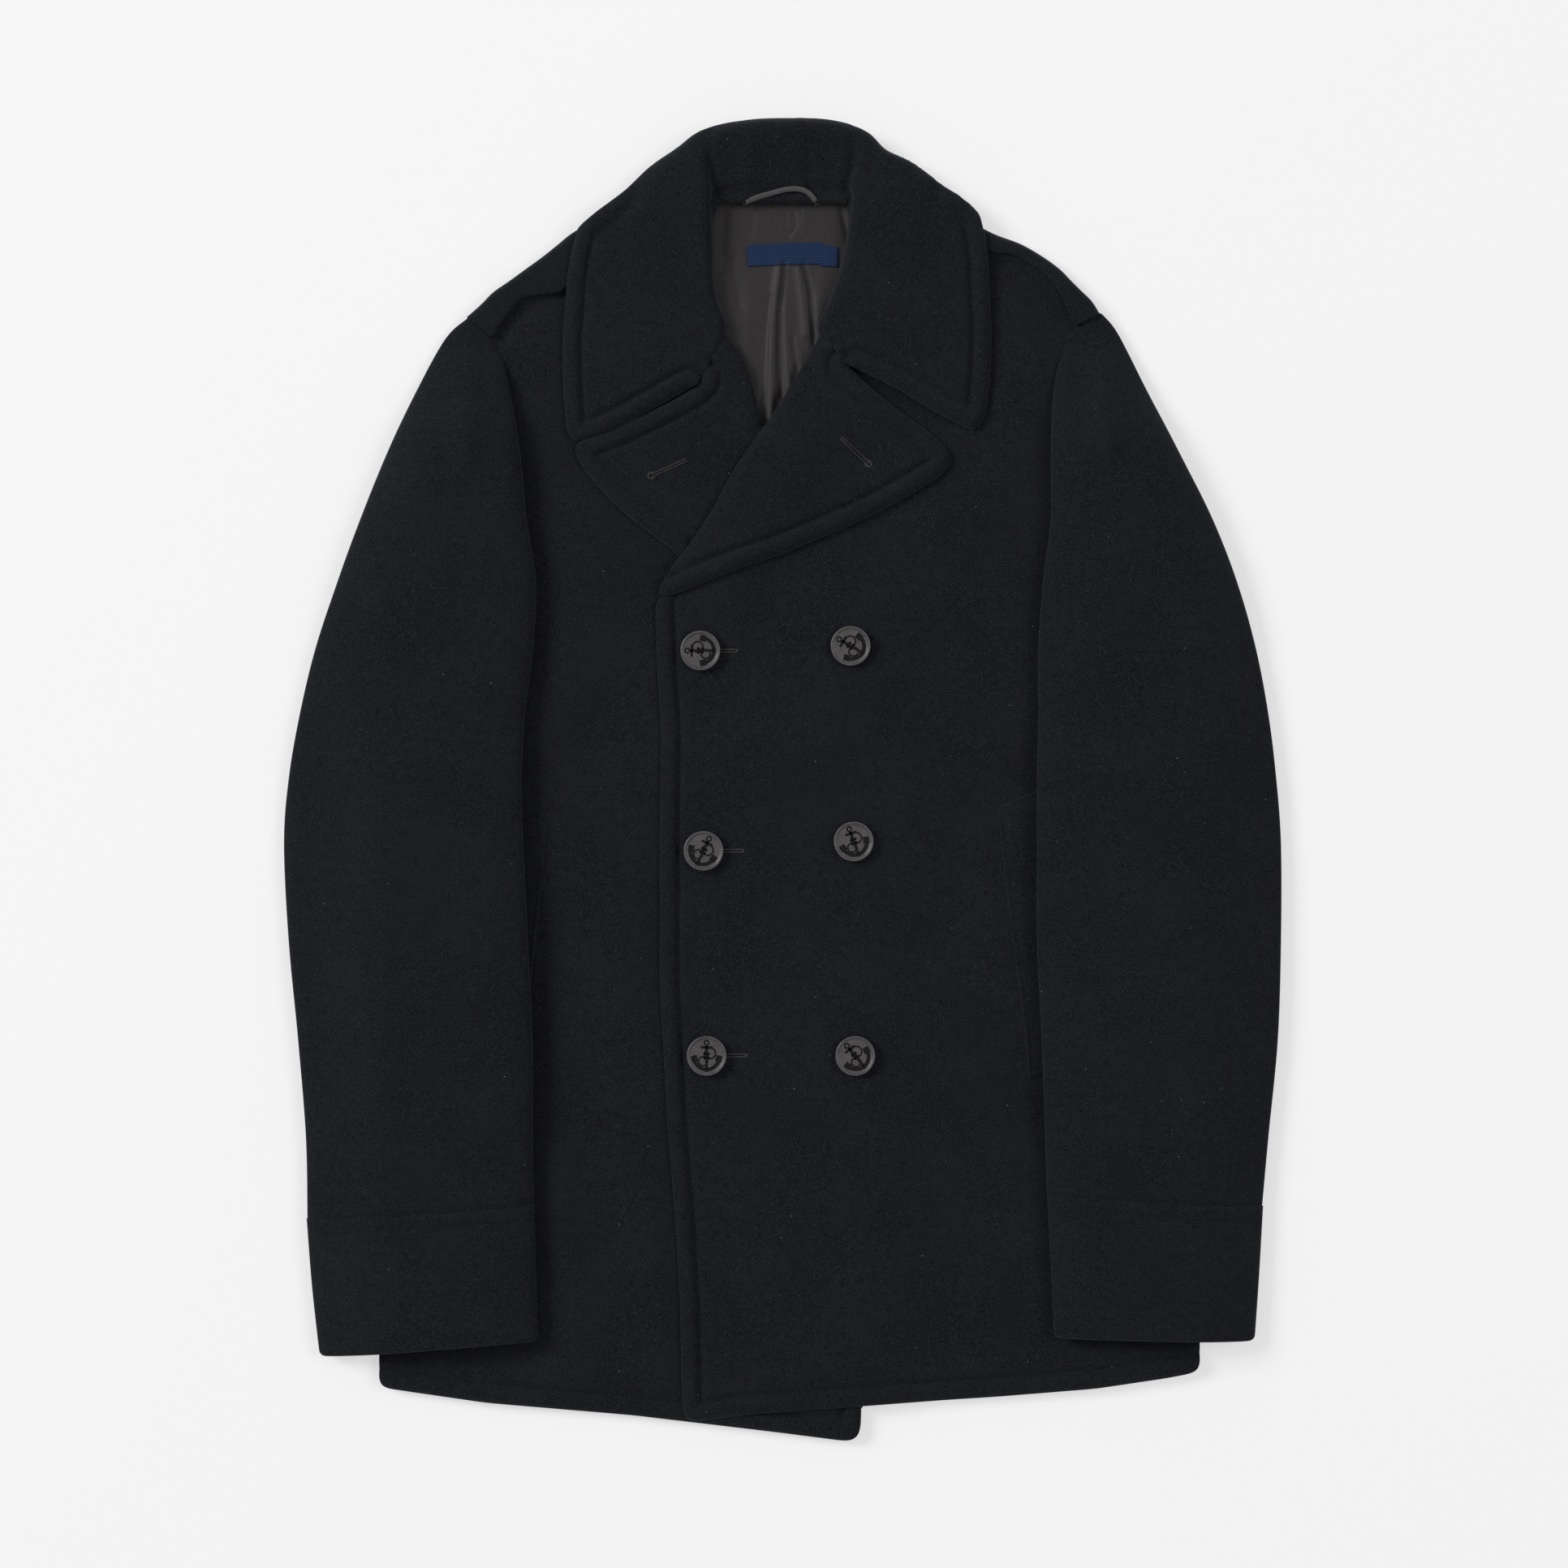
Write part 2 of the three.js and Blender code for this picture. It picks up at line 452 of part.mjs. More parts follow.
function frontLeft() {
  const roll = shifted(ROLL_LEFT, -ROLL - SEAM_GAP);
  const outline = [...HEM_LEFT, ...[...ARMHOLE_LEFT].reverse(), ...[...SHOULDER_SEAM_LEFT].reverse(),
    ...[...NECK_LEFT].reverse(), ...roll.slice(1).reverse(), [-77, 116.5], ...EDGE_LEFT];
  return panel(outline, frontLeftUnder, frontLeftTop, FRONT_PITCH, FRONT_FINE_ABOVE);
}

// A lapel lies on its front, and its roll reaches down over the front's edge
function lapel(outline, roll, side, under, top, pitch) {
  const leaf = panel(outline, (x, y) => top(x, y) + LAYER_GAP, (x, y) => top(x, y) + LAPEL_LIFT, pitch);
  const strip = [...roll, ...shifted(roll, side * ROLL).reverse()];
  return leaf.add(panel(strip, (x, y) => under(x, y) + 0.1, (x, y) => top(x, y) + LAPEL_LIFT, pitch));
}

function lapelRight() {
  return lapel(LAPEL_RIGHT, ROLL_RIGHT.slice(2), 1, frontRightUnder, frontRightTop, [28, 28]);
}

function lapelLeft() {
  return lapel(LAPEL_LEFT, ROLL_LEFT, -1, frontLeftUnder, frontLeftTop, FRONT_PITCH);
}

// Sleeves and cuffs
const SIDE_ROUNDING = 10; // a high power keeps a flattened tube flat up to its rounded sides
const sleeveTable = (rows) => rows.map(({ outer, inner, full }) => [...outer, ...inner, full]);

// One face of a flattened tube: heights are over the bed, and inset is from the tube's sides
function tubeFace(side, stations, inset, middle, crown, across) {
  return stations.map(([ox, oy, ix, iy, full]) => {
    const width = Math.hypot(ix - ox, iy - oy);
    return Array.from({ length: across + 1 }, (_, j) => {
      const c = -Math.cos((Math.PI * j) / across);
      const dome = Math.sqrt(Math.max(0, 1 - Math.abs(c) ** SIDE_ROUNDING));
      const t = 0.5 + 0.5 * c * (1 - (2 * inset) / width);
      const x = lerp(ox, ix, t);
      const y = lerp(oy, iy, t);
      return [x, y, sleeveBed(side, x, y) + lerp(middle(full), crown(full, x, y), dome)];
    });
  });
}

const tubeMiddle = (full) => lerp(0.2, SLEEVE_HEIGHT / 2, smooth(full));
const tubeInnerTop = (full) => lerp(0.2, CLOTH + SLEEVE_AIR, smooth(full));

function sleeveTop(side, rows) {
  const stations = ticks(0, 1, 1 / 22).map((t) => blendRows(sleeveTable(rows), t));
  const crown = (full, x, y) => tubeInnerTop(full) + ridges(SLEEVE_RIDGES, x, y) * smooth(2 * full);
  const outer = tubeFace(side, stations, 0, tubeMiddle, (full, x, y) => crown(full, x, y) + CLOTH, 12);
  const inner = tubeFace(side, stations, CLOTH, tubeMiddle, (full, x, y) => crown(full, x, y), 12);
  return toSolid(wall(outer, inner));
}

function sleeveUnder(side, rows) {
  const lower = sleeveTable(rows.slice(UNDER_SLEEVE_FROM));
  const stations = ticks(0, 1, 1 / 16).map((t) => blendRows(lower, t));
  const middle = () => SLEEVE_HEIGHT / 2 - 2 * SEAM_GAP;
  const outer = tubeFace(side, stations, 0, middle, () => 0, 12);
  const inner = tubeFace(side, stations, CLOTH, middle, () => CLOTH, 12);
  return toSolid(wall(outer, inner));
}

function cuff(side, rows) {
  const stations = ticks(0, 1, 1 / 5).map((t) => blendRows(sleeveTable(rows), t));
  const middle = () => SLEEVE_HEIGHT / 2;
  const face = (inset, low, high) => {
    const upper = tubeFace(side, stations, inset, middle, () => high, 12);
    const lower = tubeFace(side, stations, inset, middle, () => low, 12);
    return upper.map((row, i) => [...row, ...lower[i].slice(1, -1).reverse()]);
  };
  return toSolid(wall(face(0, 0, SLEEVE_HEIGHT), face(CLOTH, CLOTH, SLEEVE_HEIGHT - CLOTH), true));
}

// The collar: a path across it at each station, then a wall of equal thickness on that surface
function collarPath(row) {
  const place = (k) => new THREE.Vector3().fromArray(row, 3 * k);
  const [seam, fold, first, second, edge] = [0, 1, 2, 3, 4].map(place);
  const softStand = Math.min(FOLD_SOFTNESS, seam.distanceTo(fold) * 0.7);
  const standEnd = fold.clone().lerp(seam, softStand / seam.distanceTo(fold));
  const fallStart = fold.clone().lerp(first, FOLD_SOFTNESS / fold.distanceTo(first));
  const corner = new THREE.QuadraticBezierCurve3(standEnd, fold, fallStart);
  const fall = new THREE.CatmullRomCurve3([fallStart, first, second, edge], false, "centripetal");
  const stand = new THREE.LineCurve3(seam, standEnd);
  return [...stand.getPoints(2), ...corner.getPoints(3).slice(1), ...fall.getPoints(7).slice(1)];
}

function collar() {
  const rows = COLLAR.map(({ seam, fold, fall }) => [...seam, ...fold, ...fall.flat()]);
  const grid = ticks(0, 1, 1 / 44).map((t) => collarPath(blendRows(rows, t)));
  const last = [grid.length - 1, grid[0].length - 1];
  const face = (distance) => grid.map((line, i) => line.map((place, j) => {
    const along = grid[Math.min(last[0], i + 1)][j].clone().sub(grid[Math.max(0, i - 1)][j]);
    const across = line[Math.min(last[1], j + 1)].clone().sub(line[Math.max(0, j - 1)]);
    const normal = across.cross(along).normalize();
    const [x, y, z] = place.clone().addScaledVector(normal, distance).toArray();
    return [x, y, Math.max(0, z)];
  }));
  return toSolid(wall(face(COLLAR_CLOTH / 2), face(-COLLAR_CLOTH / 2)));
}

// Small pieces
function buttonSolid({ at: [x, y], turn }) {
  const { radius, thick, rim, dish, hole, holePitch } = BUTTON;
  const profile = [[0, 0], [radius * 0.55, 0], [radius * 0.93, thick * 0.35], [radius, thick * 0.6],
    [radius - 0.3, thick * 0.92], [radius - 0.8, thick], [radius - rim, thick], [radius - rim - 0.6, thick - dish],
    [0, thick - dish]];
  const disc = toSolid(new THREE.LatheGeometry(profile.map(([r, h]) => new THREE.Vector2(r, h)), 22)
    .rotateX(Math.PI / 2));
  const drill = (k) => {
    const angle = Math.PI / 4 + (k * Math.PI) / 2;
    return toSolid(new THREE.CylinderGeometry(hole, hole, 4 * thick, 6).rotateX(Math.PI / 2)
      .translate(Math.cos(angle) * holePitch, Math.sin(angle) * holePitch, 0));
  };
  const drilled = [0, 1, 2, 3].reduce((solid, k) => solid.subtract(drill(k)), disc);
  return drilled.rotate([0, 0, turn]).translate([x, y, frontLeftTop(x, y) + LAYER_GAP]);
}

function hangerLoop() {
  const line = ticks(0, 1, 1 / 12).map((t) => blendRows(LOOP_LINE, t));
  const strip = [...shifted(line, LOOP.half), ...shifted(line, -LOOP.half).reverse()];
  const under = (x, y) => 9.8 + 0.33 * Math.max(0, y - 369);
  return panel(strip, under, (x, y) => under(x, y) + LOOP.thick, [6, 2]);
}

const LINING_PITCH = [5, 12];
function backLining() {
  return panel(LINING_OUTLINE, liningUnder, (x, y) => liningUnder(x, y) + LINING_CLOTH, LINING_PITCH);
}

function onLining(outline) {
  const under = (x, y) => liningUnder(x, y) + LINING_CLOTH + LAYER_GAP;
  return panel(outline, under, (x, y) => under(x, y) + LABEL_CLOTH, LINING_PITCH);
}

function welt(outline) {
  return panel(outline, () => FRONT_TOP + SEAM_GAP, () => FRONT_TOP + SEAM_GAP + WELT_CLOTH, [40, 60]);
}

const coat = new THREE.Group();

function addPiece(name, solid, finish) {
  const mesh = new THREE.Mesh(toGeometry(solid), new THREE.MeshStandardMaterial(finish));
  mesh.name = name;
  coat.add(mesh);
}

addPiece("back", back(), NAVY);
addPiece("front_right", frontRight(), NAVY);
addPiece("front_left", frontLeft(), NAVY);
addPiece("lapel_right", lapelRight(), NAVY);
addPiece("lapel_left", lapelLeft(), NAVY);
addPiece("collar", collar(), NAVY);
addPiece("sleeve_right_top", sleeveTop("right", SLEEVE_RIGHT), NAVY);
addPiece("sleeve_right_under", sleeveUnder("right", SLEEVE_RIGHT), NAVY);
addPiece("sleeve_left_top", sleeveTop("left", SLEEVE_LEFT), NAVY);
addPiece("sleeve_left_under", sleeveUnder("left", SLEEVE_LEFT), NAVY);
addPiece("cuff_right", cuff("right", CUFF_RIGHT), NAVY);
addPiece("cuff_left", cuff("left", CUFF_LEFT), NAVY);
addPiece("pocket_welt_right", welt(WELT_RIGHT), NAVY);
addPiece("pocket_welt_left", welt(WELT_LEFT), NAVY);
addPiece("back_lining", backLining(), GREY_SATIN);
addPiece("neck_label", onLining(LABEL_OUTLINE), BLUE_WEAVE);
addPiece("size_tab", onLining(TAB_OUTLINE), BLUE_WEAVE);
addPiece("hanger_loop", hangerLoop(), GREY_SATIN);
BUTTON_PLACES.forEach((place) => addPiece(place.name, buttonSolid(place), HORN));

// The origin is under the middle of the coat, on the table
const box = new THREE.Box3().setFromObject(coat);
coat.position.set(-(box.min.x + box.max.x) / 2, -(box.min.y + box.max.y) / 2, -box.min.z);

export default coat;
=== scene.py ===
"""A double-breasted pea coat of navy melton, laid flat on its back with its sleeves down.

The places in the tables are millimetres on the table, measured from the middle of the laid
coat, with x towards its left sleeve and y towards its collar. Heights are over the table.
"""
import logging
import math
from collections.abc import Callable, Sequence
from dataclasses import dataclass
from enum import Enum

import bmesh
import bpy
import numpy as np
from mathutils import Matrix, Vector
from mathutils.geometry import delaunay_2d_cdt


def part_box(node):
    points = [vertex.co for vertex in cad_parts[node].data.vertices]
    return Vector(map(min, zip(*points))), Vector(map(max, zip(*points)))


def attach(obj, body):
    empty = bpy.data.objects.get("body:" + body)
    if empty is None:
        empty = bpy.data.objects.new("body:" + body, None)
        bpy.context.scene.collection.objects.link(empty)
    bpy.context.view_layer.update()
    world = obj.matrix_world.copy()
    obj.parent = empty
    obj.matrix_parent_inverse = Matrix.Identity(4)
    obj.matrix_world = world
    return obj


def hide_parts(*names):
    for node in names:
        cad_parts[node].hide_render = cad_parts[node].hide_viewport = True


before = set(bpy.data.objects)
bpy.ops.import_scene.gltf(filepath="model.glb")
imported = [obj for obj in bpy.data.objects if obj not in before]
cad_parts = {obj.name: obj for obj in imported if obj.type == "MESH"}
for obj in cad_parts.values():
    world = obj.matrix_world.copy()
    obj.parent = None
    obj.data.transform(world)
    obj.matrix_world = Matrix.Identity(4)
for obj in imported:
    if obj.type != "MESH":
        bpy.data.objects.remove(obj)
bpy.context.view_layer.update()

log = logging.getLogger("pea_coat")

Place = tuple[float, float]
Line = Sequence[Place]
Height = Callable[[np.ndarray, np.ndarray], np.ndarray]
Socket = bpy.types.NodeSocket

MM = 0.001
BODY = "root"

# Cloth and the gaps between its layers
CLOTH = 3.2  # melton with its backing
COLLAR_CLOTH = 4.0  # collar and lapels are two cloths sewn edge to edge
LINING_CLOTH = 1.2
LABEL_CLOTH = 0.8
WELT_CLOTH = 2.4
SEAM_GAP = 0.3
LAYER_GAP = 0.4
SLEEVE_AIR = 8.0
ROLL = 4.0  # width of the cloth that turns over at a lapel's roll

# Heights of the layers over the table
FRONT_UNDER = 5.2
FRONT_TOP = FRONT_UNDER + CLOTH
LAP_LIFT = CLOTH + LAYER_GAP
LAPEL_LIFT = COLLAR_CLOTH + LAYER_GAP
LAP_RAMP = 60.0
SHOULDER_HEIGHT = 9.8
SHOULDER_ROUND = 4.6
SLEEVE_HEIGHT = 2 * CLOTH + SLEEVE_AIR
BED_SHELF = 6.0
BED_RAMP = 24.0
HEAD_BED = 6.2

# Sewing: the row of stitches inside an edge, and the padded band between them
STITCH_INSET = 12.0
GROOVE_DEPTH = 1.7
GROOVE_HALF = 1.9
BAND_SWELL = 1.6
STITCH_PITCH = 3.4
STITCH_LENGTH = 2.5
THREAD_RADIUS = 0.26

BACK_SIDES = [(-389, -259, 267), (105, -259, 266), (141, -255, 262), (178, -240, 249), (209, -227, 233),
              (240, -214, 217), (266, -206, 208), (297, -203, 203)]  # y, right side, left side
BACK_TOP = [(192, 313), (177, 328), (152, 344), (130, 352), (112, 364), (60, 367), (-60, 367), (-113, 367),
            (-126, 359), (-144, 344), (-165, 328), (-186, 313)]
HEM_RIGHT = [(-259, -389), (-190, -399), (-96, -407), (-3, -418), (44, -424)]
HEM_LEFT = [(-62, -411), (-23, -406), (60, -400), (138, -395), (200, -390), (247, -383), (267, -379)]
EDGE_RIGHT = [(49, -421), (50, -410), (50, -280), (50, -72), (50, 98)]
EDGE_LEFT = [(-82, 116), (-81, 80), (-78, 30), (-79, -23), (-79, -78), (-79, -130), (-76, -183), (-74, -223),
             (-69, -282), (-66, -335), (-65, -389), (-64, -406)]
ROLL_RIGHT = [(50, 108), (18, 166), (-14, 228), (-19, 251), (-23, 264), (-30, 276), (-34.5, 283)]
ROLL_LEFT = [(-81, 120), (-71, 137), (-59, 152), (-45, 173), (-32, 198), (-16, 221), (-6, 235), (2, 248),
             (12, 265), (20, 278), (22, 281.5)]
NECK_RIGHT = [(-45, 300), (-50, 312), (-51, 330), (-52, 361)]
NECK_LEFT = [(31, 297), (37, 308), (42.5, 324), (46.5, 340), (49.5, 361)]
SHOULDER_SEAM_RIGHT = [(-108, 336.5), (-122, 325.5), (-137, 315.5), (-146, 311), (-156, 310), (-167, 307),
                       (-174, 299.5), (-180, 291.5), (-185.5, 282.5)]
SHOULDER_SEAM_LEFT = [(100, 340), (122, 337.5), (137, 337.5), (148, 335.5), (160, 329), (168, 323),
                      (173, 316.5), (178, 308.5), (181, 300.5), (186.5, 290.5)]
ARMHOLE_RIGHT = [(-178, 270), (-182, 250), (-200, 225), (-227, 195), (-245, 165), (-255, 141), (-259, 105)]
ARMHOLE_LEFT = [(175.5, 279), (176.5, 268), (181, 254), (198, 232), (226, 200), (247, 168), (262, 141),
                (266, 105)]
LAPEL_RIGHT_SEWN = [(-48, 134), (-57, 137), (-65, 141), (-71, 148), (-86, 159), (-98, 168),
                    (-108, 177), (-119, 189), (-127, 198), (-134, 211), (-133, 216), (-110, 224.5),
                    (-90, 233.5), (-71, 243), (-57, 251), (-52.5, 256.5)]
LAPEL_RIGHT_GORGE = [(-48.5, 269.5), (-41, 287.5), (-35, 284.5)]  # tucked under the collar
LAPEL_RIGHT_HIDDEN = [(-7, 215), (0, 202), (-24, 168)]  # lies under the left lapel
LAPEL_LEFT_SEWN = [(-81, 120), (-78, 118), (-72, 118), (-45, 129), (-24, 137), (-3, 144), (19, 153),
                   (42, 163), (59, 171), (81, 183), (102, 196), (107, 203), (107, 209), (104, 214),
                   (93, 223), (75, 236), (59, 249), (41, 265)]
LAPEL_LEFT_GORGE = [(41.5, 271.5), (33, 281.5), (26, 287), (21.5, 283)]

# Where the back rolls over each shoulder: its outer edge and its seam to the front, as x, y, x, y
SHOULDER_RIGHT = [(-203, 297, -186, 283.5), (-194, 305, -181, 292.5), (-186, 313, -175, 300.5),
                  (-176, 320, -167.5, 308), (-165, 328, -156, 311), (-154, 336, -146, 312),
                  (-144, 344, -137, 316.5), (-136, 350.5, -127, 323), (-122, 359, -113, 331)]
SHOULDER_LEFT = [(203, 299, 187, 291), (198, 307, 182, 301), (191, 314, 179, 309), (184, 321, 174, 317),
                 (177, 328, 168.5, 324), (166, 336, 160, 330), (152, 344, 148, 336.5), (136, 350, 133, 338.5),
                 (122, 357, 119, 344)]

# Sleeves from the head to the wrist: outer edge x, y, inner edge x, y, and how full it is
HEAD_RIGHT = (-200.8, 297.8, -185.2, 285.2, 0)  # tucked under the shoulder's roll
HEAD_LEFT = (201.2, 300.5, 186, 293, 0)
SLEEVE_RIGHT = [(-203, 296, -186.5, 282.5, 0), (-217, 283, -180.5, 272, 0.1), (-235, 250, -175, 250, 0.45),
                (-254, 209, -168, 209, 1), (-271, 167, -164, 167, 1), (-286, 126, -158, 126, 1),
                (-300, 84, -160, 84, 1), (-310, 42, -165, 42, 1), (-317, 1, -167, 1, 1),
                (-320, -41, -166, -41, 1), (-317, -103, -163, -103, 1), (-311, -166, -160, -166, 1),
                (-306, -228, -160, -222, 1), (-305, -279.5, -159.5, -269.5, 1)]
SLEEVE_LEFT = [(204.5, 299, 187.6, 290, 0), (215, 286, 180, 279, 0.1), (233, 250, 173, 250, 0.45),
               (254, 209, 171, 209, 1), (275, 167, 171, 167, 1), (291, 126, 166, 126, 1),
               (303, 84, 163, 84, 1), (311, 42, 163, 42, 1), (316, 1, 162, 1, 1), (319, -41, 162, -41, 1),
               (319, -103, 162, -103, 1), (317, -166, 165, -166, 1), (311, -228, 167, -218, 1),
               (307, -271.5, 168.5, -262.5, 1)]
CUFF_RIGHT = [(-305.5, -280.5, -159, -270.5, 1), (-302, -325, -158, -314, 1), (-297, -369, -157, -358, 1)]
CUFF_LEFT = [(307.5, -272.5, 168.5, -263.5, 1), (305, -316, 171, -310, 1), (302, -359, 173, -356, 1)]
UNDER_SLEEVE_FROM = 4

# The collar from its right end round the back of the neck to its left end: where it is sewn on,
# its fold, and three places down its fall, each x, y and the height of the middle of the cloth
COLLAR = [
    (-56, 253.5, 11, -58, 252.5, 11.2, -86, 236.5, 12, -112, 222.5, 11.6, -132, 217, 10.9),
    (-53, 258, 11, -55, 257.5, 11.4, -85, 243, 12.4, -114, 228, 11.8, -137.5, 222, 10.9),
    (-46.5, 270, 11, -48.5, 270, 11.8, -84, 258, 13, -115, 246, 12.2, -140, 240, 10.9),
    (-38.5, 288, 9.5, -40, 288, 12.6, -82, 277, 14, -115, 267, 12.6, -141, 260, 10.9),
    (-43.5, 306, 5.8, -45, 306, 14, -82, 299, 15, -115, 290, 13.4, -141, 284, 11),
    (-46, 322, 5.6, -47.5, 322, 15, -84, 317, 16, -115, 308, 14, -139.5, 302, 11.8),
    (-46, 340, 5.6, -48, 340, 16, -84, 337, 17, -114, 330, 15, -138, 322, 12.8),
    (-46, 358, 5.8, -48.5, 358, 17, -80, 358, 17.5, -108, 354, 15.5, -134, 344, 12.9),
    (-43, 369, 6.8, -49, 374, 18, -78, 376, 17.5, -102, 370, 14.5, -127, 357, 11.4),
    (-36, 370.5, 7.2, -50.5, 390, 19, -74, 392, 16, -87, 389, 9, -93, 371, 2.6),
    (-28, 370.5, 7.2, -49, 404, 20, -64, 404, 15, -67, 400, 6, -67, 369, 2.05),
    (-19, 370.5, 7.2, -40, 413.5, 20.5, -49, 415, 13, -50, 410, 4.4, -45, 369, 2.05),
    (-8, 370.5, 7.2, -20, 417, 21, -22, 420.5, 13, -22, 415, 3.4, -21, 369, 2.05),
    (5, 370.5, 7.2, 5, 418, 21.5, 5, 421.5, 13, 5, 416, 3.2, 5, 369, 2.05),
    (18, 370.5, 7.2, 28, 417, 21, 30, 420.5, 13, 30, 415, 3.4, 29, 369, 2.05),
    (28, 370.5, 7.2, 43, 412.5, 20.5, 51, 414, 13, 52, 409, 4.4, 50, 369, 2.05),
    (35, 370.5, 7.2, 49, 402, 20, 62, 402.5, 15, 66, 398.5, 6, 68, 369, 2.05),
    (40, 370.5, 7.2, 48.5, 388, 19, 74, 393, 16, 87, 390, 9, 93, 371, 2.6),
    (43, 369, 6.8, 47, 372, 18, 76, 377, 17.5, 101, 376, 14.5, 121, 366, 11.2),
    (43.5, 356, 5.8, 45.5, 356, 17, 76, 360, 17.5, 104, 359, 15.5, 128, 353, 12.9),
    (41, 340, 5.6, 43, 340, 16, 76, 341, 17, 105, 338, 15, 131, 334, 12.8),
    (37, 324, 5.6, 39, 324, 15, 74, 324, 16, 105, 319, 14, 132, 313, 11.8),
    (31.5, 308, 5.8, 33.5, 308, 14, 70, 305, 15, 102, 299, 13.4, 133, 293, 11),
    (24, 289, 9.5, 26, 289, 12.6, 66, 284, 14, 100, 276, 12.6, 133, 270, 10.9),
    (32.5, 277.5, 11, 34.5, 277, 11.8, 68, 264, 13, 100, 256, 12.2, 131.5, 250, 10.9),
    (40, 269, 11, 42, 268, 11.4, 72, 254, 12.4, 101, 240, 11.8, 128.5, 232.5, 10.9),
    (42, 266.5, 11, 44, 265, 11.2, 73, 250.5, 12, 99, 235, 11.6, 121, 224, 10.9),
]
FOLD_SOFTNESS = 4.0

LINING_OUTLINE = [(-58, 374), (-58, 335), (-56, 300), (-46, 275), (-36, 250), (-28, 222), (-8, 203), (4, 222),
                  (17, 238), (32, 262), (46, 290), (54, 320), (58, 345), (58, 374)]
LABEL_OUTLINE = [(-24, 343), (0, 344.6), (23.7, 345), (23.7, 331), (0, 330.8), (-23, 329.5)]
TAB_OUTLINE = [(23.3, 344), (35, 342), (35, 329), (23.3, 330)]
LOOP_LINE = [(-27, 369), (-17, 373), (-8, 375.5), (2, 378), (11, 378), (17, 375), (22, 369)]
WELT_RIGHT = [(-151, -28), (-153, -52), (-156, -81), (-161, -125), (-168, -200), (-202, -189), (-195, -114),
              (-190, -70), (-187, -41), (-185, -16)]
WELT_LEFT = [(137, -17), (141, -55), (148, -112), (155, -165), (157, -192), (191, -179), (189, -152),
             (182, -99), (175, -42), (171, -3)]


class Side(Enum):
    """The two sides of the coat, as its wearer names them."""

    RIGHT = "right"
    LEFT = "left"


class Held(Enum):
    """How a cloth lies."""

    LAID = "laid"
    FOLDED = "folded"


@dataclass(frozen=True)
class Crease:
    """A soft ridge, or a trough where its height is below zero, along a line."""

    line: Line
    height: float
    half_width: float


def creases(*rows: tuple[Line, float, float]) -> list[Crease]:
    """Ridges and troughs from rows of their line, height and half width."""
    return [Crease(*row) for row in rows]


COLLAR_CREASES = creases(
    (((-44, 378), (-47.5, 398), (-48, 418)), -2.6, 2.8), (((41, 380), (45, 398), (46, 418)), -2.4, 3.0),
    (((-38, 378), (-40, 414)), -1.3, 8.0), (((28, 378), (30, 412)), -1.3, 9.0),
    (((-22, 376), (-20, 410)), 0.9, 6.0), (((10.5, 374), (11.5, 419)), 1.3, 2.4),
    (((15.5, 376), (16.5, 418)), -0.9, 2.4),
)
LINING_FOLDS = creases(
    (((-2, 328), (-6.2, 300), (-7.3, 268), (-7.8, 232)), 2.3, 2.8),
    (((0.8, 332), (-1.8, 305), (-2.4, 279), (-0.8, 246)), -1.5, 1.7),
    (((-7.8, 310), (-11.6, 284), (-13.2, 246)), -0.8, 2.0),
    (((1.2, 302), (2.4, 279), (4.2, 252)), 1.2, 2.4), (((5.8, 284), (9, 264)), -1.0, 1.5),
    (((11, 327), (13.6, 306), (15.2, 286)), 1.7, 3.2),
    (((13, 331), (17.6, 314), (18.8, 294), (19.6, 280)), -1.4, 1.8),
    (((-34, 333), (-29.5, 305)), -0.9, 3.6), (((-37, 362), (-39, 330)), -0.8, 5.0),
    (((6.8, 367), (7.8, 355), (2.8, 348.5)), -0.8, 1.3), (((14, 367), (13.2, 357)), 0.6, 1.5),
    (((1.4, 366), (1.8, 350)), -0.5, 1.0), (((37, 367), (42, 346)), -0.9, 2.0),
    (((-19, 366), (-21, 350)), -0.4, 2.4), (((25, 327), (23, 296)), 0.5, 3.0),
    (((-20, 322), (-23, 270)), 0.5, 4.0),
)
SLEEVE_RIDGES = creases(
    (((-202, 284), (-200, 205)), 2.6, 12.0), (((205, 284), (207, 212)), 4.6, 6.5),
    (((191, 280), (189, 220)), -1.6, 6.0),
)
SLEEVE_CREASES = creases(
    (((-300, 92), (-236, 70)), -0.7, 9.0), (((-196, 34), (-262, 12)), 0.6, 11.0),
    (((-318, -20), (-250, -34)), -0.6, 12.0), (((-176, -96), (-236, -120)), 0.6, 10.0),
    (((-300, -180), (-230, -206)), -0.5, 13.0), (((-226, 200), (-214, 96)), 0.7, 16.0),
    (((302, 80), (240, 60)), -0.7, 9.0), (((200, 20), (270, -4)), 0.6, 11.0),
    (((316, -30), (250, -52)), -0.6, 12.0), (((182, -110), (238, -136)), 0.6, 10.0),
    (((304, -186), (236, -212)), -0.5, 13.0), (((228, 196), (214, 90)), 0.7, 16.0),
)
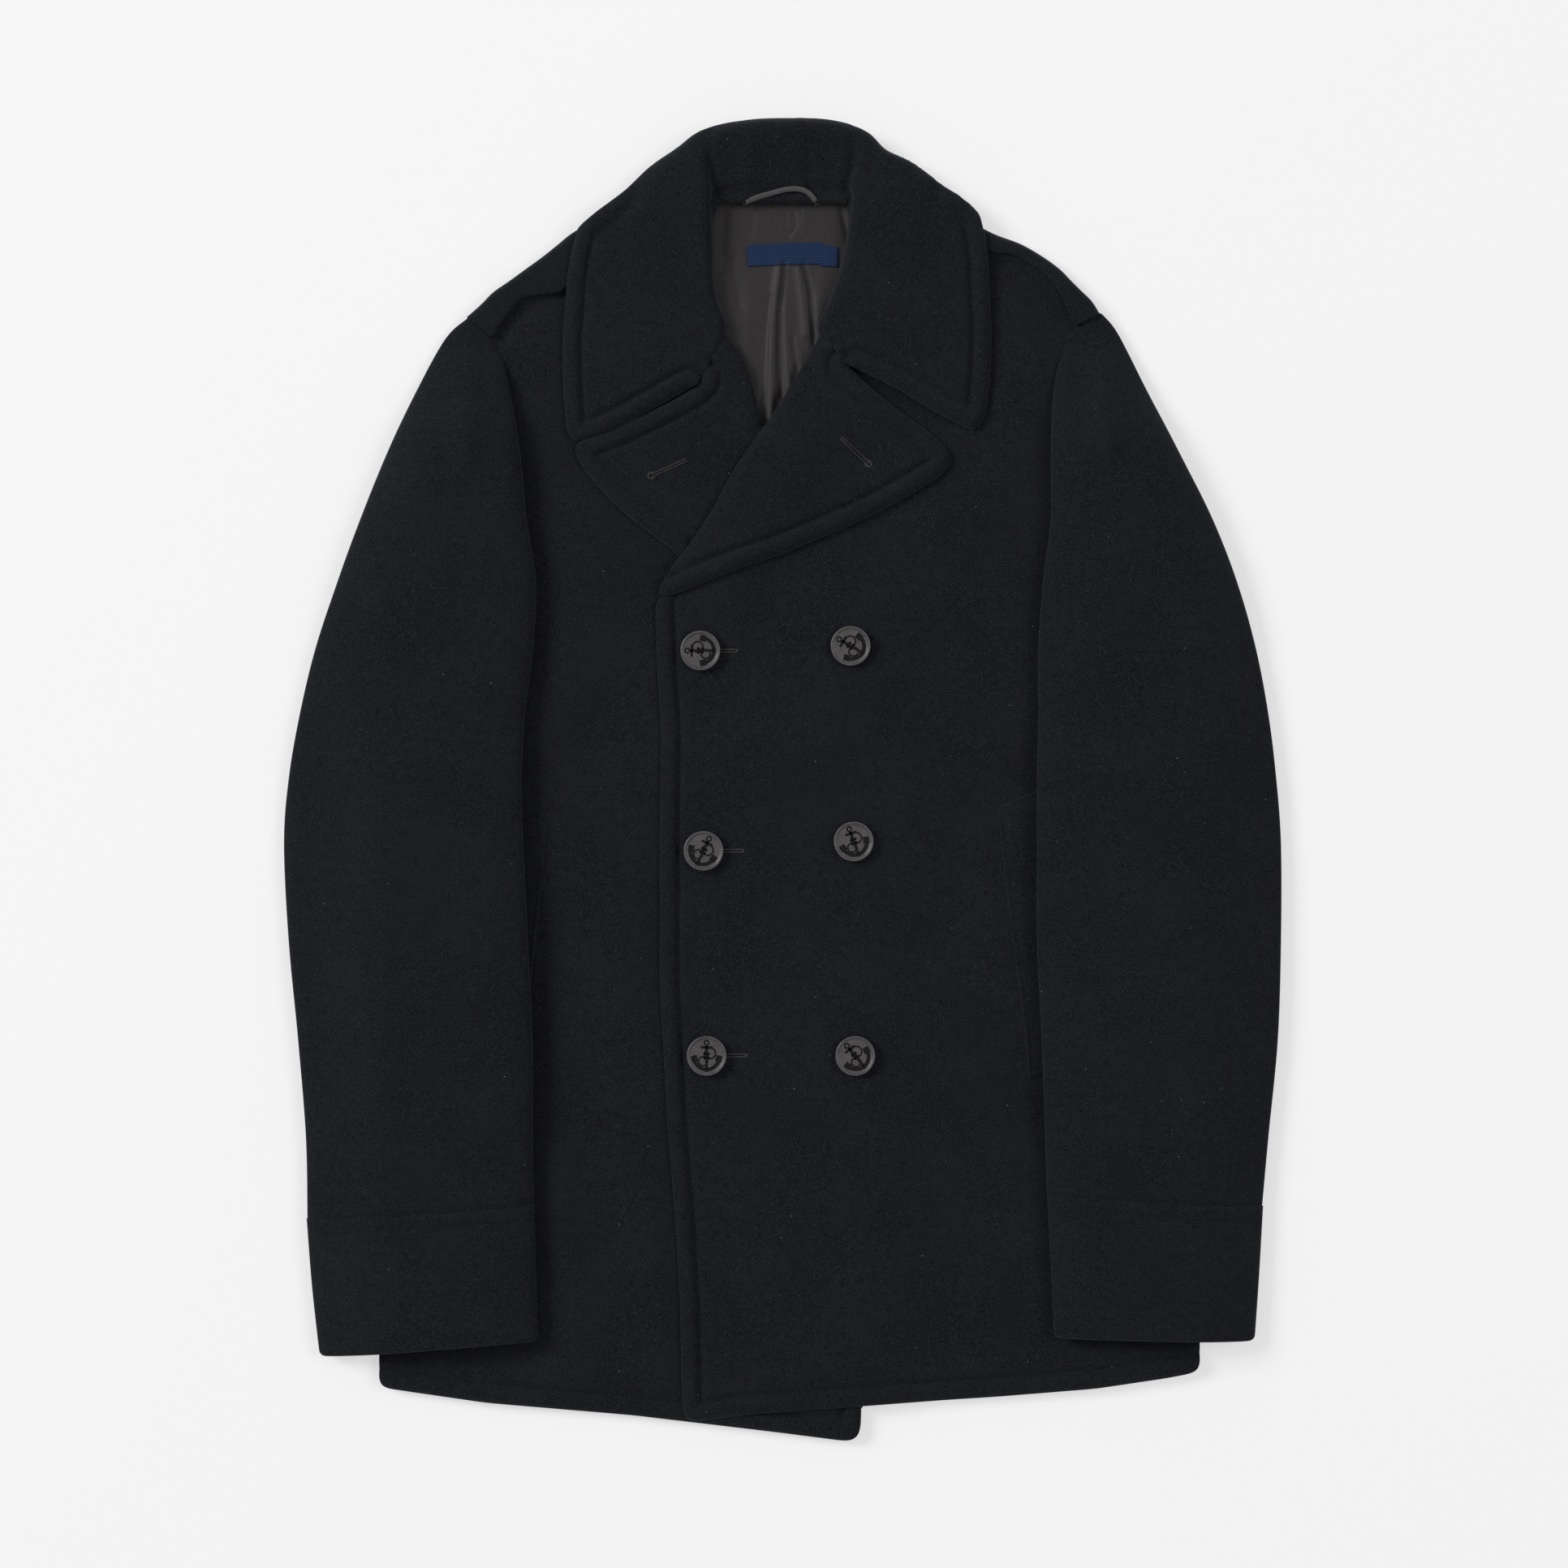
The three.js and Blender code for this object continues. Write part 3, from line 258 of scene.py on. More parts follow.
FRONT_CREASES = creases(
    (((-149, -30), (-151, -52), (-154, -81), (-159, -125), (-166, -200)), -0.9, 2.6),
    (((135, -19), (139, -55), (146, -112), (153, -165), (155, -192)), -0.9, 2.6),
    (((76, 150), (146, 60)), -0.6, 18.0), (((150, 262), (96, 120)), 0.6, 20.0),
    (((-60, 60), (20, 30)), -0.5, 10.0), (((60, 60), (130, 12)), 0.5, 16.0),
    (((-56, -66), (34, -94)), -0.5, 12.0), (((66, -70), (140, -120)), -0.5, 18.0),
    (((-52, -200), (40, -226)), -0.5, 12.0), (((80, -210), (70, -360)), 0.6, 22.0),
    (((-20, -240), (-26, -380)), -0.5, 20.0), (((130, -230), (150, -370)), -0.6, 18.0),
    (((-106, 90), (-150, 10)), 0.5, 18.0), (((-130, -60), (-110, -200)), -0.5, 20.0),
    (((-150, -240), (-140, -380)), 0.5, 20.0), (((-100, -260), (-92, -390)), -0.4, 16.0),
    (((-108, 333), (-137, 312), (-156, 306), (-172, 297), (-182, 281)), -1.9, 4.2),
    (((122, 334), (148, 332), (160, 326), (170, 315), (178, 300), (183, 290)), -1.9, 4.2),
)


def smooth(t: np.ndarray) -> np.ndarray:
    """An even step from 0 to 1."""
    s = np.clip(t, 0, 1)
    return s * s * (3 - 2 * s)


def blend_rows(rows: np.ndarray, t: float) -> np.ndarray:
    """The row between others, on a smooth curve through all of them.

    Args:
        rows: One row of numbers for each station.
        t: Where along the rows, in rows from the first.

    Returns:
        The numbers of the row at that place.
    """
    i = int(min(len(rows) - 2, max(0, math.floor(t))))
    f = t - i
    a, b, c, d = (rows[min(len(rows) - 1, max(0, k))] for k in (i - 1, i, i + 1, i + 2))
    return b + 0.5 * f * (c - a + f * (2 * a - 5 * b + 4 * c - d + f * (3 * b - a - 3 * c + d)))


def distance_to_line(line: Line, x: np.ndarray, y: np.ndarray) -> np.ndarray:
    """How far each place is from a line.

    Args:
        line: The line's corners.
        x: The places' x.
        y: The places' y.

    Returns:
        The distances, in millimetres.
    """
    best = np.full(np.shape(x), np.inf)
    for (ax, ay), (bx, by) in zip(line[:-1], line[1:]):
        dx, dy = bx - ax, by - ay
        t = np.clip(((x - ax) * dx + (y - ay) * dy) / max(dx * dx + dy * dy, 1e-9), 0, 1)
        best = np.minimum(best, np.hypot(x - ax - dx * t, y - ay - dy * t))
    return best


def creased(folds: Sequence[Crease], x: np.ndarray, y: np.ndarray) -> np.ndarray:
    """The height that soft ridges and troughs add at each place.

    Args:
        folds: The ridges and troughs.
        x: The places' x.
        y: The places' y.

    Returns:
        The added heights.
    """
    total = np.zeros(np.shape(x))
    for fold in folds:
        away = distance_to_line(fold.line, x, y) / fold.half_width
        total = total + fold.height * np.exp(-away * away)
    return total


def undulation(x: np.ndarray, y: np.ndarray) -> np.ndarray:
    """The slight waves of thick cloth that has been smoothed by hand."""
    long_waves = 0.16 * np.sin(x / 37 + y / 71 + 0.7) + 0.14 * np.sin(y / 43 - x / 83 + 2.1)
    return long_waves + 0.08 * np.sin(x / 17 - y / 23 + 1.3)


def shifted(line: Line, distance: float) -> list[Place]:
    """A line moved sideways.

    Args:
        line: The line's corners.
        distance: How far, to its left if above zero.

    Returns:
        The moved corners.
    """
    moved = []
    for i, (x, y) in enumerate(line):
        ax, ay = line[max(0, i - 1)]
        bx, by = line[min(len(line) - 1, i + 1)]
        length = math.hypot(bx - ax, by - ay)
        moved.append((x - (by - ay) / length * distance, y + (bx - ax) / length * distance))
    return moved


def resample(line: Line, spacing: float, closed: bool = False) -> np.ndarray:
    """Places at equal distances along a line.

    Args:
        line: The line's corners, in two or three dimensions.
        spacing: The distance between places.
        closed: Whether the line ends where it starts.

    Returns:
        The places, a row each.
    """
    points = np.asarray(line, float)
    if closed:
        points = np.vstack([points, points[:1]])
    steps = np.linalg.norm(np.diff(points, axis=0), axis=1)
    along = np.concatenate([[0], np.cumsum(steps)])
    where = np.linspace(0, along[-1], max(3, round(along[-1] / spacing)) + 1)
    if closed:
        where = where[:-1]
    return np.column_stack([np.interp(where, along, points[:, k]) for k in range(points.shape[1])])


# Layers that lift what lies on them
LAP_LINE = [(50, -424), *ROLL_RIGHT[:6], (-45, 316), (-46, 364)]
CROSSING_START = (20.3, 278.5)  # the left lapel's roll
CROSSING_END = (-80.6, 120.4)


def lapel_cover(x: np.ndarray, y: np.ndarray) -> np.ndarray:
    """How far the right lapel holds up the left front, from 0 to 1.

    Args:
        x: The places' x.
        y: The places' y.

    Returns:
        The shares.
    """
    dx, dy = CROSSING_END[0] - CROSSING_START[0], CROSSING_END[1] - CROSSING_START[1]
    length = math.hypot(dx, dy)
    along = ((x - CROSSING_START[0]) * dx + (y - CROSSING_START[1]) * dy) / length
    across = ((y - CROSSING_START[1]) * dx - (x - CROSSING_START[0]) * dy) / length
    rise = smooth((along - 8) / 42)
    fall = 1 - smooth((along - 166) / 26)
    return rise * fall * (1 - smooth((across - 24) / 46))


def front_right_top(x: np.ndarray, y: np.ndarray) -> np.ndarray:
    """The upper face of the inner front."""
    return np.full(np.shape(x), FRONT_TOP)


def front_right_under(x: np.ndarray, y: np.ndarray) -> np.ndarray:
    """The lower face of the inner front."""
    return np.full(np.shape(x), FRONT_UNDER)


def front_left_under(x: np.ndarray, y: np.ndarray) -> np.ndarray:
    """The lower face of the outer front, which lies over the inner one and its lapel.

    Args:
        x: The places' x.
        y: The places' y.

    Returns:
        The heights.
    """
    edge = np.interp(y, [place[1] for place in LAP_LINE], [place[0] for place in LAP_LINE])
    lap = 1 - smooth((x - edge - 1) / LAP_RAMP)
    return FRONT_UNDER + LAP_LIFT * lap + LAPEL_LIFT * lapel_cover(x, y)


NOTCH_HOLLOW = creases(
    (((50, 260), (76, 244), (103, 226)), -5.0, 5.0),
)


def hollowed(face: Height, share: float) -> Height:
    """A face of the outer front that sags under the open notch of its lapel.

    Args:
        face: The face without the hollow.
        share: How much of the hollow's depth it takes.

    Returns:
        The face.
    """
    return lambda x, y: face(x, y) + share * creased(NOTCH_HOLLOW, x, y)


def front_left_top(x: np.ndarray, y: np.ndarray) -> np.ndarray:
    """The upper face of the outer front."""
    return front_left_under(x, y) + CLOTH


def lining_under(x: np.ndarray, y: np.ndarray) -> np.ndarray:
    """The lower face of the lining, with its folds."""
    return CLOTH + LAYER_GAP + creased(LINING_FOLDS, x, y)


def lining_top(x: np.ndarray, y: np.ndarray) -> np.ndarray:
    """The upper face of the lining."""
    return lining_under(x, y) + LINING_CLOTH


def sleeve_bed(side: Side, x: np.ndarray, y: np.ndarray, ease: float = 0.0) -> np.ndarray:
    """What a sleeve lies on: the body, then the table beside it.

    Args:
        side: Which sleeve.
        x: The places' x.
        y: The places' y.
        ease: How much sooner and later than the bed its slope starts and ends, for a slack cloth.

    Returns:
        The heights of the sleeve's underside.
    """
    pocket = smooth((y + 245) / 40) * (1 - smooth((y - 5) / 40))
    body = FRONT_TOP + 0.5 + (WELT_CLOTH + LAYER_GAP) * pocket
    top = body + (HEAD_BED - body) * smooth((y - 262) / 18)
    column = 1 if side is Side.RIGHT else 2
    edge = np.interp(y, [row[0] for row in BACK_SIDES], [row[column] for row in BACK_SIDES])
    outside = edge - x if side is Side.RIGHT else x - edge
    return top * (1 - smooth((outside - BED_SHELF + ease) / (BED_RAMP + 2 * ease)))


def edge_drop(distance: np.ndarray, depth: np.ndarray | float, softness: float = 1.0) -> np.ndarray:
    """How far a rounded edge falls away below the face it ends.

    Args:
        distance: How far each place is from the edge.
        depth: How far the edge itself lies below the face.
        softness: How many times its depth the rounding is wide.

    Returns:
        The drops.
    """
    inward = np.clip(1 - distance / (depth * softness), 0, 1)
    return depth * (1 - np.sqrt(np.clip(1 - inward * inward, 0, 1)))


def sewn_band(distance: np.ndarray, swell: float = BAND_SWELL, inset: float = STITCH_INSET) -> np.ndarray:
    """The relief beside a sewn edge: a padded band, the groove of its stitches and the cloth behind.

    Args:
        distance: How far each place is from the edge.
        swell: How far the band stands up.
        inset: How far the stitches are from the edge.

    Returns:
        The added heights.
    """
    band = swell * np.sin(np.pi * np.clip(distance / inset, 0, 1)) ** 1.1
    groove = GROOVE_DEPTH * swell / BAND_SWELL * np.exp(-((distance - inset) / GROOVE_HALF) ** 2)
    shoulder = 0.45 * swell * np.exp(-((distance - inset - 5) / 3.2) ** 2)
    return band - groove + shoulder


@dataclass(frozen=True)
class Table:
    """The table that the coat lies on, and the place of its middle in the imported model."""

    shift: Vector

    @classmethod
    def from_frame(cls) -> "Table":
        """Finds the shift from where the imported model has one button.

        Returns:
            The table.
        """
        low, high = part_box("button_show_side_bottom")
        middle = (low + high) / 2 / MM
        place = next(button.place for button in BUTTONS if button.node == "button_show_side_bottom")
        return cls(Vector((middle.x - place[0], middle.y - place[1], 0)))

    def object(self, name: str, points: np.ndarray, faces: Sequence[Sequence[int]]) -> bpy.types.Object:
        """Makes a closed body out of points on the table.

        Args:
            name: The piece's name.
            points: Its points, in millimetres.
            faces: Its faces, as rows of point numbers.

        Returns:
            The new object, at the origin.
        """
        mesh = bpy.data.meshes.new(name)
        metres = (np.asarray(points, float) + np.array(self.shift)) * MM
        mesh.from_pydata(metres.tolist(), [], [list(face) for face in faces])
        shape = bmesh.new()
        shape.from_mesh(mesh)
        bmesh.ops.remove_doubles(shape, verts=shape.verts, dist=2e-6)
        bmesh.ops.recalc_face_normals(shape, faces=shape.faces)
        shape.to_mesh(mesh)
        shape.free()
        mesh.shade_smooth()
        piece = bpy.data.objects.new(name, mesh)
        bpy.context.scene.collection.objects.link(piece)
        return piece


def srgb(code: str) -> tuple[float, float, float, float]:
    """A colour as the shaders take it.

    Args:
        code: Six hex digits of the colour as a screen shows it.

    Returns:
        The linear red, green and blue, and full opacity.
    """
    parts = [int(code[k:k + 2], 16) / 255 for k in (0, 2, 4)]
    linear = [c / 12.92 if c <= 0.04045 else ((c + 0.055) / 1.055) ** 2.4 for c in parts]
    return (linear[0], linear[1], linear[2], 1.0)


def add_node(tree: bpy.types.NodeTree, kind: str, values: dict | None = None, links: dict | None = None,
             **settings: object) -> bpy.types.Node:
    """Adds a node to a material.

    Args:
        tree: The material's nodes.
        kind: The node's type.
        values: What its sockets are set to.
        links: Where its sockets are fed from.
        **settings: The node's own settings.

    Returns:
        The new node.
    """
    node = tree.nodes.new(kind)
    for name, setting in settings.items():
        setattr(node, name, setting)
    for socket, value in (values or {}).items():
        node.inputs[socket].default_value = value
    for socket, source in (links or {}).items():
        tree.links.new(source, node.inputs[socket])
    return node


def new_material(name: str) -> tuple[bpy.types.Material, bpy.types.NodeTree, Socket]:
    """Starts a material with its shader and the place it is coloured by.

    Args:
        name: The material's name.

    Returns:
        The material, its nodes, and the socket of the object's own coordinates.
    """
    material = bpy.data.materials.new(name)
    material.use_nodes = True
    tree = material.node_tree
    tree.nodes.clear()
    place = add_node(tree, "ShaderNodeTexCoord").outputs["Object"]
    return material, tree, place


def finish_material(tree: bpy.types.NodeTree, values: dict, links: dict) -> None:
    """Adds the shader and joins it to the surface.

    Args:
        tree: The material's nodes.
        values: What the shader's sockets are set to.
        links: Where its other sockets are fed from.
    """
    shader = add_node(tree, "ShaderNodeBsdfPrincipled", values, links)
    add_node(tree, "ShaderNodeOutputMaterial", links={"Surface": shader.outputs["BSDF"]})


def blend(tree: bpy.types.NodeTree, low: object, high: object, factor: Socket) -> Socket:
    """Mixes two colours, each of them a fixed colour or a socket.

    Args:
        tree: The material's nodes.
        low: The colour, or its socket, at 0.
        high: The colour, or its socket, at 1.
        factor: How much of the second is taken.

    Returns:
        The mixed colour.
    """
    parts = {"A": low, "B": high}
    fixed = {key: part for key, part in parts.items() if isinstance(part, tuple)}
    fed = {key: part for key, part in parts.items() if key not in fixed}
    mix = add_node(tree, "ShaderNodeMix", fixed, {"Factor": factor, **fed}, data_type="RGBA")
    return mix.outputs["Result"]


def noise(tree: bpy.types.NodeTree, place: Socket, size: float, detail: float, **more: float) -> Socket:
    """A cloudy pattern whose clouds are so many millimetres across."""
    values = {"Scale": 1 / (size * MM), "Detail": detail, **more}
    return add_node(tree, "ShaderNodeTexNoise", values, {"Vector": place}).outputs["Fac"]


def bumped(tree: bpy.types.NodeTree, strength: float, depth: float, height: Socket) -> Socket:
    """A surface with a relief so many millimetres deep."""
    values = {"Strength": strength, "Distance": depth * MM}
    return add_node(tree, "ShaderNodeBump", values, {"Height": height}).outputs["Normal"]


@dataclass(frozen=True)
class Melton:
    """Milled wool: fulled until the weave is felted over, then cropped. It drinks the light."""

    name: str = "wool_melton_navy"
    dark: str = "07080b"
    pale: str = "1b1c21"
    fibre: str = "393b42"
    lint: str = "77777b"
    fibre_size: float = 0.95  # tufts of felted fibre, millimetres
    mottle_size: float = 5.0
    cloud_size: float = 46.0
    lint_pitch: float = 13.0
    twill_pitch: float = 1.6  # the weave that still shows through the nap
    relief: float = 0.28

    def material(self) -> bpy.types.Material:
        """Builds the cloth: felted tufts, a ghost of the weave, paler hairs and a soft nap.

        Returns:
            The material.
        """
        material, tree, place = new_material(self.name)
        tufts = noise(tree, place, self.fibre_size, 5.0, Roughness=0.68)
        cloud = noise(tree, place, self.cloud_size, 3.0)
        weave = [add_node(tree, "ShaderNodeTexWave", {"Scale": 1 / (self.twill_pitch * MM) / 10,
                                                      "Distortion": 5.0, "Detail": 2.0, "Detail Scale": 1.5},
                          {"Vector": place}, wave_type="BANDS", bands_direction=direction)
                 for direction in ("X", "Y")]
        woven = add_node(tree, "ShaderNodeMath", operation="MULTIPLY",
                         links={0: weave[0].outputs["Fac"], 1: weave[1].outputs["Fac"]})
        lit = add_node(tree, "ShaderNodeMapRange", {"From Min": 0.4, "From Max": 0.6},
                       {"Value": tufts})
        shade = blend(tree, srgb(self.dark), srgb(self.pale), lit.outputs["Result"])
        mottle = noise(tree, place, self.mottle_size, 2.0)
        uneven = add_node(tree, "ShaderNodeMath", links={0: cloud, 1: mottle},
                          operation="MULTIPLY")
        washed = add_node(tree, "ShaderNodeMapRange", {"From Min": 0.16, "From Max": 0.36, "To Max": 0.45},
                          {"Value": uneven.outputs[0]})
        ground = blend(tree, shade, srgb(self.pale), washed.outputs["Result"])
        hair = add_node(tree, "ShaderNodeMapRange", {"From Min": 0.6, "From Max": 0.72, "To Max": 0.7},
                        {"Value": tufts})
        nap = blend(tree, ground, srgb(self.fibre), hair.outputs["Result"])
        flecks = add_node(tree, "ShaderNodeTexVoronoi", {"Scale": 1 / (self.lint_pitch * MM)},
                          {"Vector": place})
        fleck = add_node(tree, "ShaderNodeMath", {1: 0.022}, {0: flecks.outputs["Distance"]},
                         operation="LESS_THAN")
        colour = blend(tree, nap, srgb(self.lint), fleck.outputs[0])
        height = add_node(tree, "ShaderNodeMath", {1: 0.35}, {0: woven.outputs[0], 2: tufts},
                          operation="MULTIPLY_ADD")
        normal = bumped(tree, 0.8, self.relief, height.outputs[0])
        finish_material(tree, {"Roughness": 0.96, "Specular IOR Level": 0.12, "Sheen Weight": 0.13,
                               "Sheen Roughness": 0.45, "Sheen Tint": (0.62, 0.66, 0.78, 1)},
                        {"Base Color": colour, "Normal": normal})
        return material


@dataclass(frozen=True)
class Satin:
    """Warp-faced viscose lining: filament yarns lie side by side, so folds catch long soft lights."""

    name: str = "viscose_satin_grey"
    dark: str = "1c191b"
    pale: str = "2a2729"
    yarn: float = 0.5
    roughness: float = 0.6

    def material(self) -> bpy.types.Material:
        """Builds the cloth: fine upright yarns with a slight unevenness.

        Returns:
            The material.
        """
        material, tree, place = new_material(self.name)
        yarns = add_node(tree, "ShaderNodeTexWave", {"Scale": 1 / (self.yarn * MM) / 10, "Distortion": 1.2,
                                                     "Detail": 2.0}, {"Vector": place},
                         wave_type="BANDS", bands_direction="X")
        slub = add_node(tree, "ShaderNodeMapping", {"Scale": (700, 240, 700)}, {"Vector": place})
        uneven = add_node(tree, "ShaderNodeTexNoise", {"Scale": 1.0, "Detail": 4.0},
                          {"Vector": slub.outputs["Vector"]})
        colour = blend(tree, srgb(self.dark), srgb(self.pale), uneven.outputs["Fac"])
        height = add_node(tree, "ShaderNodeMath", {1: 0.5},
                          {0: uneven.outputs["Fac"], 2: yarns.outputs["Fac"]}, operation="MULTIPLY_ADD")
        normal = bumped(tree, 0.35, 0.08, height.outputs[0])
        finish_material(tree, {"Roughness": self.roughness, "Specular IOR Level": 0.3, "Sheen Weight": 0.05,
                               "Sheen Roughness": 0.35},
                        {"Base Color": colour, "Normal": normal})
        return material


@dataclass(frozen=True)
class DamaskTape:
    """Jacquard-woven polyester tape: tight blue warp with a faint rib across it."""

    name: str = "polyester_tape_blue"
    dark: str = "0a1f3c"
    pale: str = "122c54"
    rib: float = 0.55

    def material(self) -> bpy.types.Material:
        """Builds the tape: a plain weave in two near blues.

        Returns:
            The material.
        """
        material, tree, place = new_material(self.name)
        ribs = [add_node(tree, "ShaderNodeTexWave", {"Scale": 1 / (self.rib * MM) / 10, "Distortion": 0.4},
                         {"Vector": place}, wave_type="BANDS", bands_direction=direction)
                for direction in ("X", "Y")]
        weave = add_node(tree, "ShaderNodeMath", links={0: ribs[0].outputs["Fac"], 1: ribs[1].outputs["Fac"]},
                         operation="MULTIPLY")
        colour = blend(tree, srgb(self.dark), srgb(self.pale), weave.outputs[0])
        normal = bumped(tree, 0.5, 0.1, weave.outputs[0])
        finish_material(tree, {"Roughness": 0.7, "Specular IOR Level": 0.2, "Sheen Weight": 0.04},
                        {"Base Color": colour, "Normal": normal})
        return material


@dataclass(frozen=True)
class SewingThread:
    """Corespun polyester thread: two twisted plies, so each stitch has a slanted glint."""

    name: str
    colour: str
    roughness: float = 0.7

    def material(self) -> bpy.types.Material:
        """Builds the thread: a fine slanted twist, its darker bands painted shade between the plies.

        Returns:
            The material.
        """
        material, tree, place = new_material(self.name)
        twist = add_node(tree, "ShaderNodeTexWave", {"Scale": 200.0, "Distortion": 0.3}, {"Vector": place},
                         wave_type="BANDS", bands_direction="DIAGONAL")
        normal = bumped(tree, 0.4, 0.05, twist.outputs["Fac"])
        # painted shade between the twisted plies
        dark = tuple(0.6 * part for part in srgb(self.colour)[:3]) + (1.0,)
        colour = blend(tree, dark, srgb(self.colour), twist.outputs["Fac"])
        finish_material(tree, {"Roughness": self.roughness, "Specular IOR Level": 0.15},
                        {"Base Color": colour, "Normal": normal})
        return material


@dataclass(frozen=True)
class Horn:
    """Polished grey horn, turned on a lathe: cloudy, with faint turning lines under a soft gloss."""

    name: str = "turned_horn_grey"
    dark: str = "353336"
    pale: str = "575354"
    cloud: float = 4.5
    roughness: float = 0.38

    def material(self) -> bpy.types.Material:
        """Builds the horn: clouds of grey and fine scratches.

        Returns:
            The material.
        """
        material, tree, place = new_material(self.name)
        clouds = noise(tree, place, self.cloud, 4.0, Distortion=0.6)
        grain = add_node(tree, "ShaderNodeMapping", {"Scale": (900, 2600, 900)}, {"Vector": place})
        scratches = add_node(tree, "ShaderNodeTexNoise", {"Scale": 1.0, "Detail": 3.0},
                             {"Vector": grain.outputs["Vector"]})
        colour = blend(tree, srgb(self.dark), srgb(self.pale), clouds)
        normal = bumped(tree, 0.2, 0.04, scratches.outputs["Fac"])
        rough = add_node(tree, "ShaderNodeMapRange", {"To Min": self.roughness - 0.06,
                                                      "To Max": self.roughness + 0.12},
                         {"Value": clouds})
        finish_material(tree, {"Metallic": 0.25, "Specular IOR Level": 0.6},
                        {"Base Color": colour, "Roughness": rough.outputs["Result"],
                         "Normal": normal})
        return material


@dataclass(frozen=True)
class PaintedShade:
    """A dull, nearly black painted shade, laid in the buttonhole slits and the buttons' anchors."""

    name: str
    colour: str
    roughness: float = 0.75

    def material(self) -> bpy.types.Material:
        """Builds the painted shade, with a fine grit.

        Returns:
            The material.
        """
        material, tree, place = new_material(self.name)
        grit = add_node(tree, "ShaderNodeTexNoise", {"Scale": 2500.0, "Detail": 2.0}, {"Vector": place})
        normal = bumped(tree, 0.3, 0.05, grit.outputs["Fac"])
        finish_material(tree, {"Base Color": srgb(self.colour), "Roughness": self.roughness,
                               "Specular IOR Level": 0.2},
                        {"Normal": normal})
        return material


@dataclass(frozen=True)
class Finishes:
    """The finishes of the coat, each made once."""

    melton: bpy.types.Material
    satin: bpy.types.Material
    binding: bpy.types.Material
    tape: bpy.types.Material
    thread: bpy.types.Material
    hole_thread: bpy.types.Material
    slit: bpy.types.Material
    horn: bpy.types.Material
    blacking: bpy.types.Material

    @classmethod
    def make(cls) -> "Finishes":
        """Makes every finish.

        Returns:
            The finishes.
        """
        return cls(
            melton=Melton().material(),
            satin=Satin().material(),
            binding=Satin("viscose_binding_grey", "3a3738", "4e4a4b", 0.6, 0.6).material(),
            tape=DamaskTape().material(),
            # navy thread, made darker than the cloth so the stitch grooves read deeper: its own colour with
            # painted shade
            thread=SewingThread("polyester_thread_navy_painted_shade", "08090d").material(),
            hole_thread=SewingThread("polyester_thread_charcoal", "4b4949").material(),
            # painted shade in the buttonhole slits
            slit=PaintedShade("shadowed_wool_edge", "060607", 1.0).material(),
            horn=Horn().material(),
            # painted shade for the sunken anchor on each button
            blacking=PaintedShade("blacking_in_etched_horn", "0f0e0e", 0.85).material(),
        )


@dataclass
class Coat:
    """What every sub-assembly needs: the table, the finishes, and a place to note its pieces."""

    table: Table
    finishes: Finishes

    def keep(self, piece: bpy.types.Object, material: bpy.types.Material, slot: str,
             nodes: Sequence[str] = ()) -> bpy.types.Object:
        """Dresses a piece and lets it ride on the coat.

        Args:
            piece: The new piece.
            material: Its finish.
            slot: Not used.
            nodes: The solids that it stands for.

        Returns:
            The same piece.
        """
        if not piece.data.materials:
            piece.data.materials.append(material)
        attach(piece, BODY)
        if nodes:
            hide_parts(*nodes)
        log.info("%s: %d faces", piece.name, len(piece.data.polygons))
        return piece

    def cloth(self, piece: bpy.types.Object, width: float, length: float, area: float,
              rests_on: Sequence[str], held: Held = Held.LAID) -> None:
        """Takes the cut of a piece of cloth, but does nothing with it.

        Args:
            piece: Not used.
            width: Not used.
            length: Not used.
            area: Not used.
            rests_on: Not used.
            held: Not used.
        """

    def panel(self, panel: "Panel", node: str, material: bpy.types.Material, slot: str,
              rests_on: Sequence[str], held: Held = Held.LAID) -> None:
        """Builds and dresses a panel.

        Args:
            panel: The panel.
            node: The solid that it stands for.
            material: Its finish.
            slot: A name for the finish, handed on to keep.
            rests_on: The nodes that it lies on.
            held: How it lies.
        """
        piece = self.keep(panel.build(self.table), material, slot, [node])
        border = panel.border()
        width, length = border.max(0) - border.min(0)
        self.cloth(piece, float(width), float(length), polygon_area(border), rests_on, held)


FINE_INSETS = (0.35, 0.9, 1.8, 3.2, 5.2, 7.4, 9.4, 10.8, 11.6, 12.4, 13.3, 14.8, 17.0)
LOW_INSETS = (0.5, 1.6, 3.9, 4.5, 12.0)


